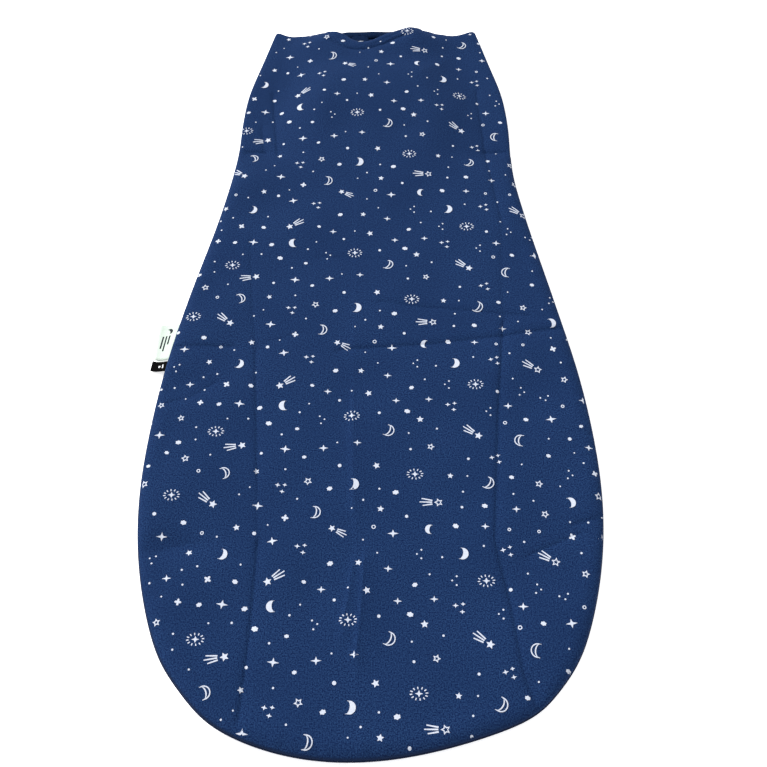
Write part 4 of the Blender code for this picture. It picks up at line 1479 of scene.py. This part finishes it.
def flat_label(name, slot, wave):
    """A small label lying inside the bag, on the place of its CAD node."""
    low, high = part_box(name)

    def place(across, up):
        x = mix(low.x, high.x, across) - SHIFT[0]
        y = mix(low.y, high.y, up) - SHIFT[1]
        return x, y, high.z + wave * math.sin(across * 7.2 + up * 3.2)
    parts = np.linspace(0.0, 1.0, 9)
    obj = patch(f"{name}_cloth", parts, parts, place, LOOK[slot])
    put(obj, name, thickness=0.0006)
    as_sheet(obj)


def make_labels():
    white = side_tag("side_label", 0.3112, 0.3462, 0.0158, 0.0215, -0.0030, 0.0052, 0.0010, "white_label")
    edge = -float(half_width(0.328)) - 0.0035
    marks = [moved(moon(0.0050, 0.0022), edge - 0.0042, 0.3415, 0.4)]
    for k, size in enumerate((0.0120, 0.0150, 0.0090)):
        x = edge - 0.0094 + 0.0028 * k
        marks.append(bar((x, 0.3370), (x - size * 0.12, 0.3370 - size), 0.0013, 0.0013))
    marks_on("side_label_marks", white, marks, LOOK["label_ink"])
    black = side_tag("size_tag", 0.3000, 0.3094, 0.0166, 0.0172, -0.0038, 0.0054, 0.0008, "black_label")
    edge = -float(half_width(0.304)) - 0.0055
    marks = [moved(dot(0.0011), edge - 0.0030, 0.3065), bar((edge, 0.3080), (edge, 0.3042), 0.0011, 0.0011)]
    marks_on("size_tag_marks", black, marks, LOOK["label_ink_light"])
    flat_label("neck_label", "tan_label", 0.0)
    flat_label("care_label", "care_label_satin", 0.0003)


make_labels()

# ---- carried CAD nodes ----
def dress(name, paint):
    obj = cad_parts[name]
    if not obj.material_slots:
        obj.data.materials.append(paint)
    for place in obj.material_slots:
        place.material = paint


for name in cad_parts:
    if name.startswith("stud_"):
        dress(name, LOOK["stud_resin"])
    elif name.startswith(("zip_slider", "zip_pull", "zip_top_stop", "zip_bottom_stop")):
        dress(name, LOOK["slider_enamel"])

# ---- floor, light and camera ----
FLOOR_Z = -0.0006
FLOOR_HALF = 6.0
LIGHT_AT = (-1.0, 0.75, 1.05)
CAMERA_AT = (0.01249, -0.50032, 0.6974)
CAMERA_TILT = math.radians(32.0)
LENS = 47.909


def make_floor():
    made, tree, shader = material("pale_floor", Roughness=0.95, Specular_IOR_Level=0.1,
                                  Emission_Color=(1.0, 1.0, 1.0, 1.0), Emission_Strength=0.60)
    grain = noise(tree, object_map(tree), 60.0, 4.0, 0.5)
    tone = blend_colours(tree, grain, (0.93, 0.93, 0.935, 1.0), (0.96, 0.96, 0.96, 1.0))
    tree.links.new(tone, shader.inputs["Base Color"])
    mesh = bpy.data.meshes.new("floor")
    corners = [(-1, -1), (1, -1), (1, 1), (-1, 1)]
    mesh.from_pydata([(x * FLOOR_HALF, y * FLOOR_HALF, FLOOR_Z) for x, y in corners], [], [(0, 1, 2, 3)])
    mesh.materials.append(made)
    linked("floor", mesh)


def make_light():
    sky = bpy.data.worlds.new("studio")
    bpy.context.scene.world = sky
    sky.use_nodes = True
    back = sky.node_tree.nodes["Background"]
    back.inputs["Color"].default_value = (1.0, 1.0, 1.0, 1.0)
    back.inputs["Strength"].default_value = 0.80
    lamp = bpy.data.lights.new("key", "SUN")
    lamp.angle = math.radians(24.0)
    lamp.energy = 4.3
    key = linked("key", lamp)
    key.location = LIGHT_AT
    key.rotation_euler = (-key.location).to_track_quat("-Z", "Y").to_euler()


def make_camera():
    view = bpy.data.cameras.new("camera")
    view.lens = LENS
    view.sensor_width = 36.0
    camera = linked("camera", view)
    camera.location = CAMERA_AT
    camera.rotation_euler = (CAMERA_TILT, 0.0, 0.0)
    bpy.context.scene.camera = camera


make_floor()
make_light()
make_camera()
bpy.context.scene.view_settings.view_transform = "Standard"
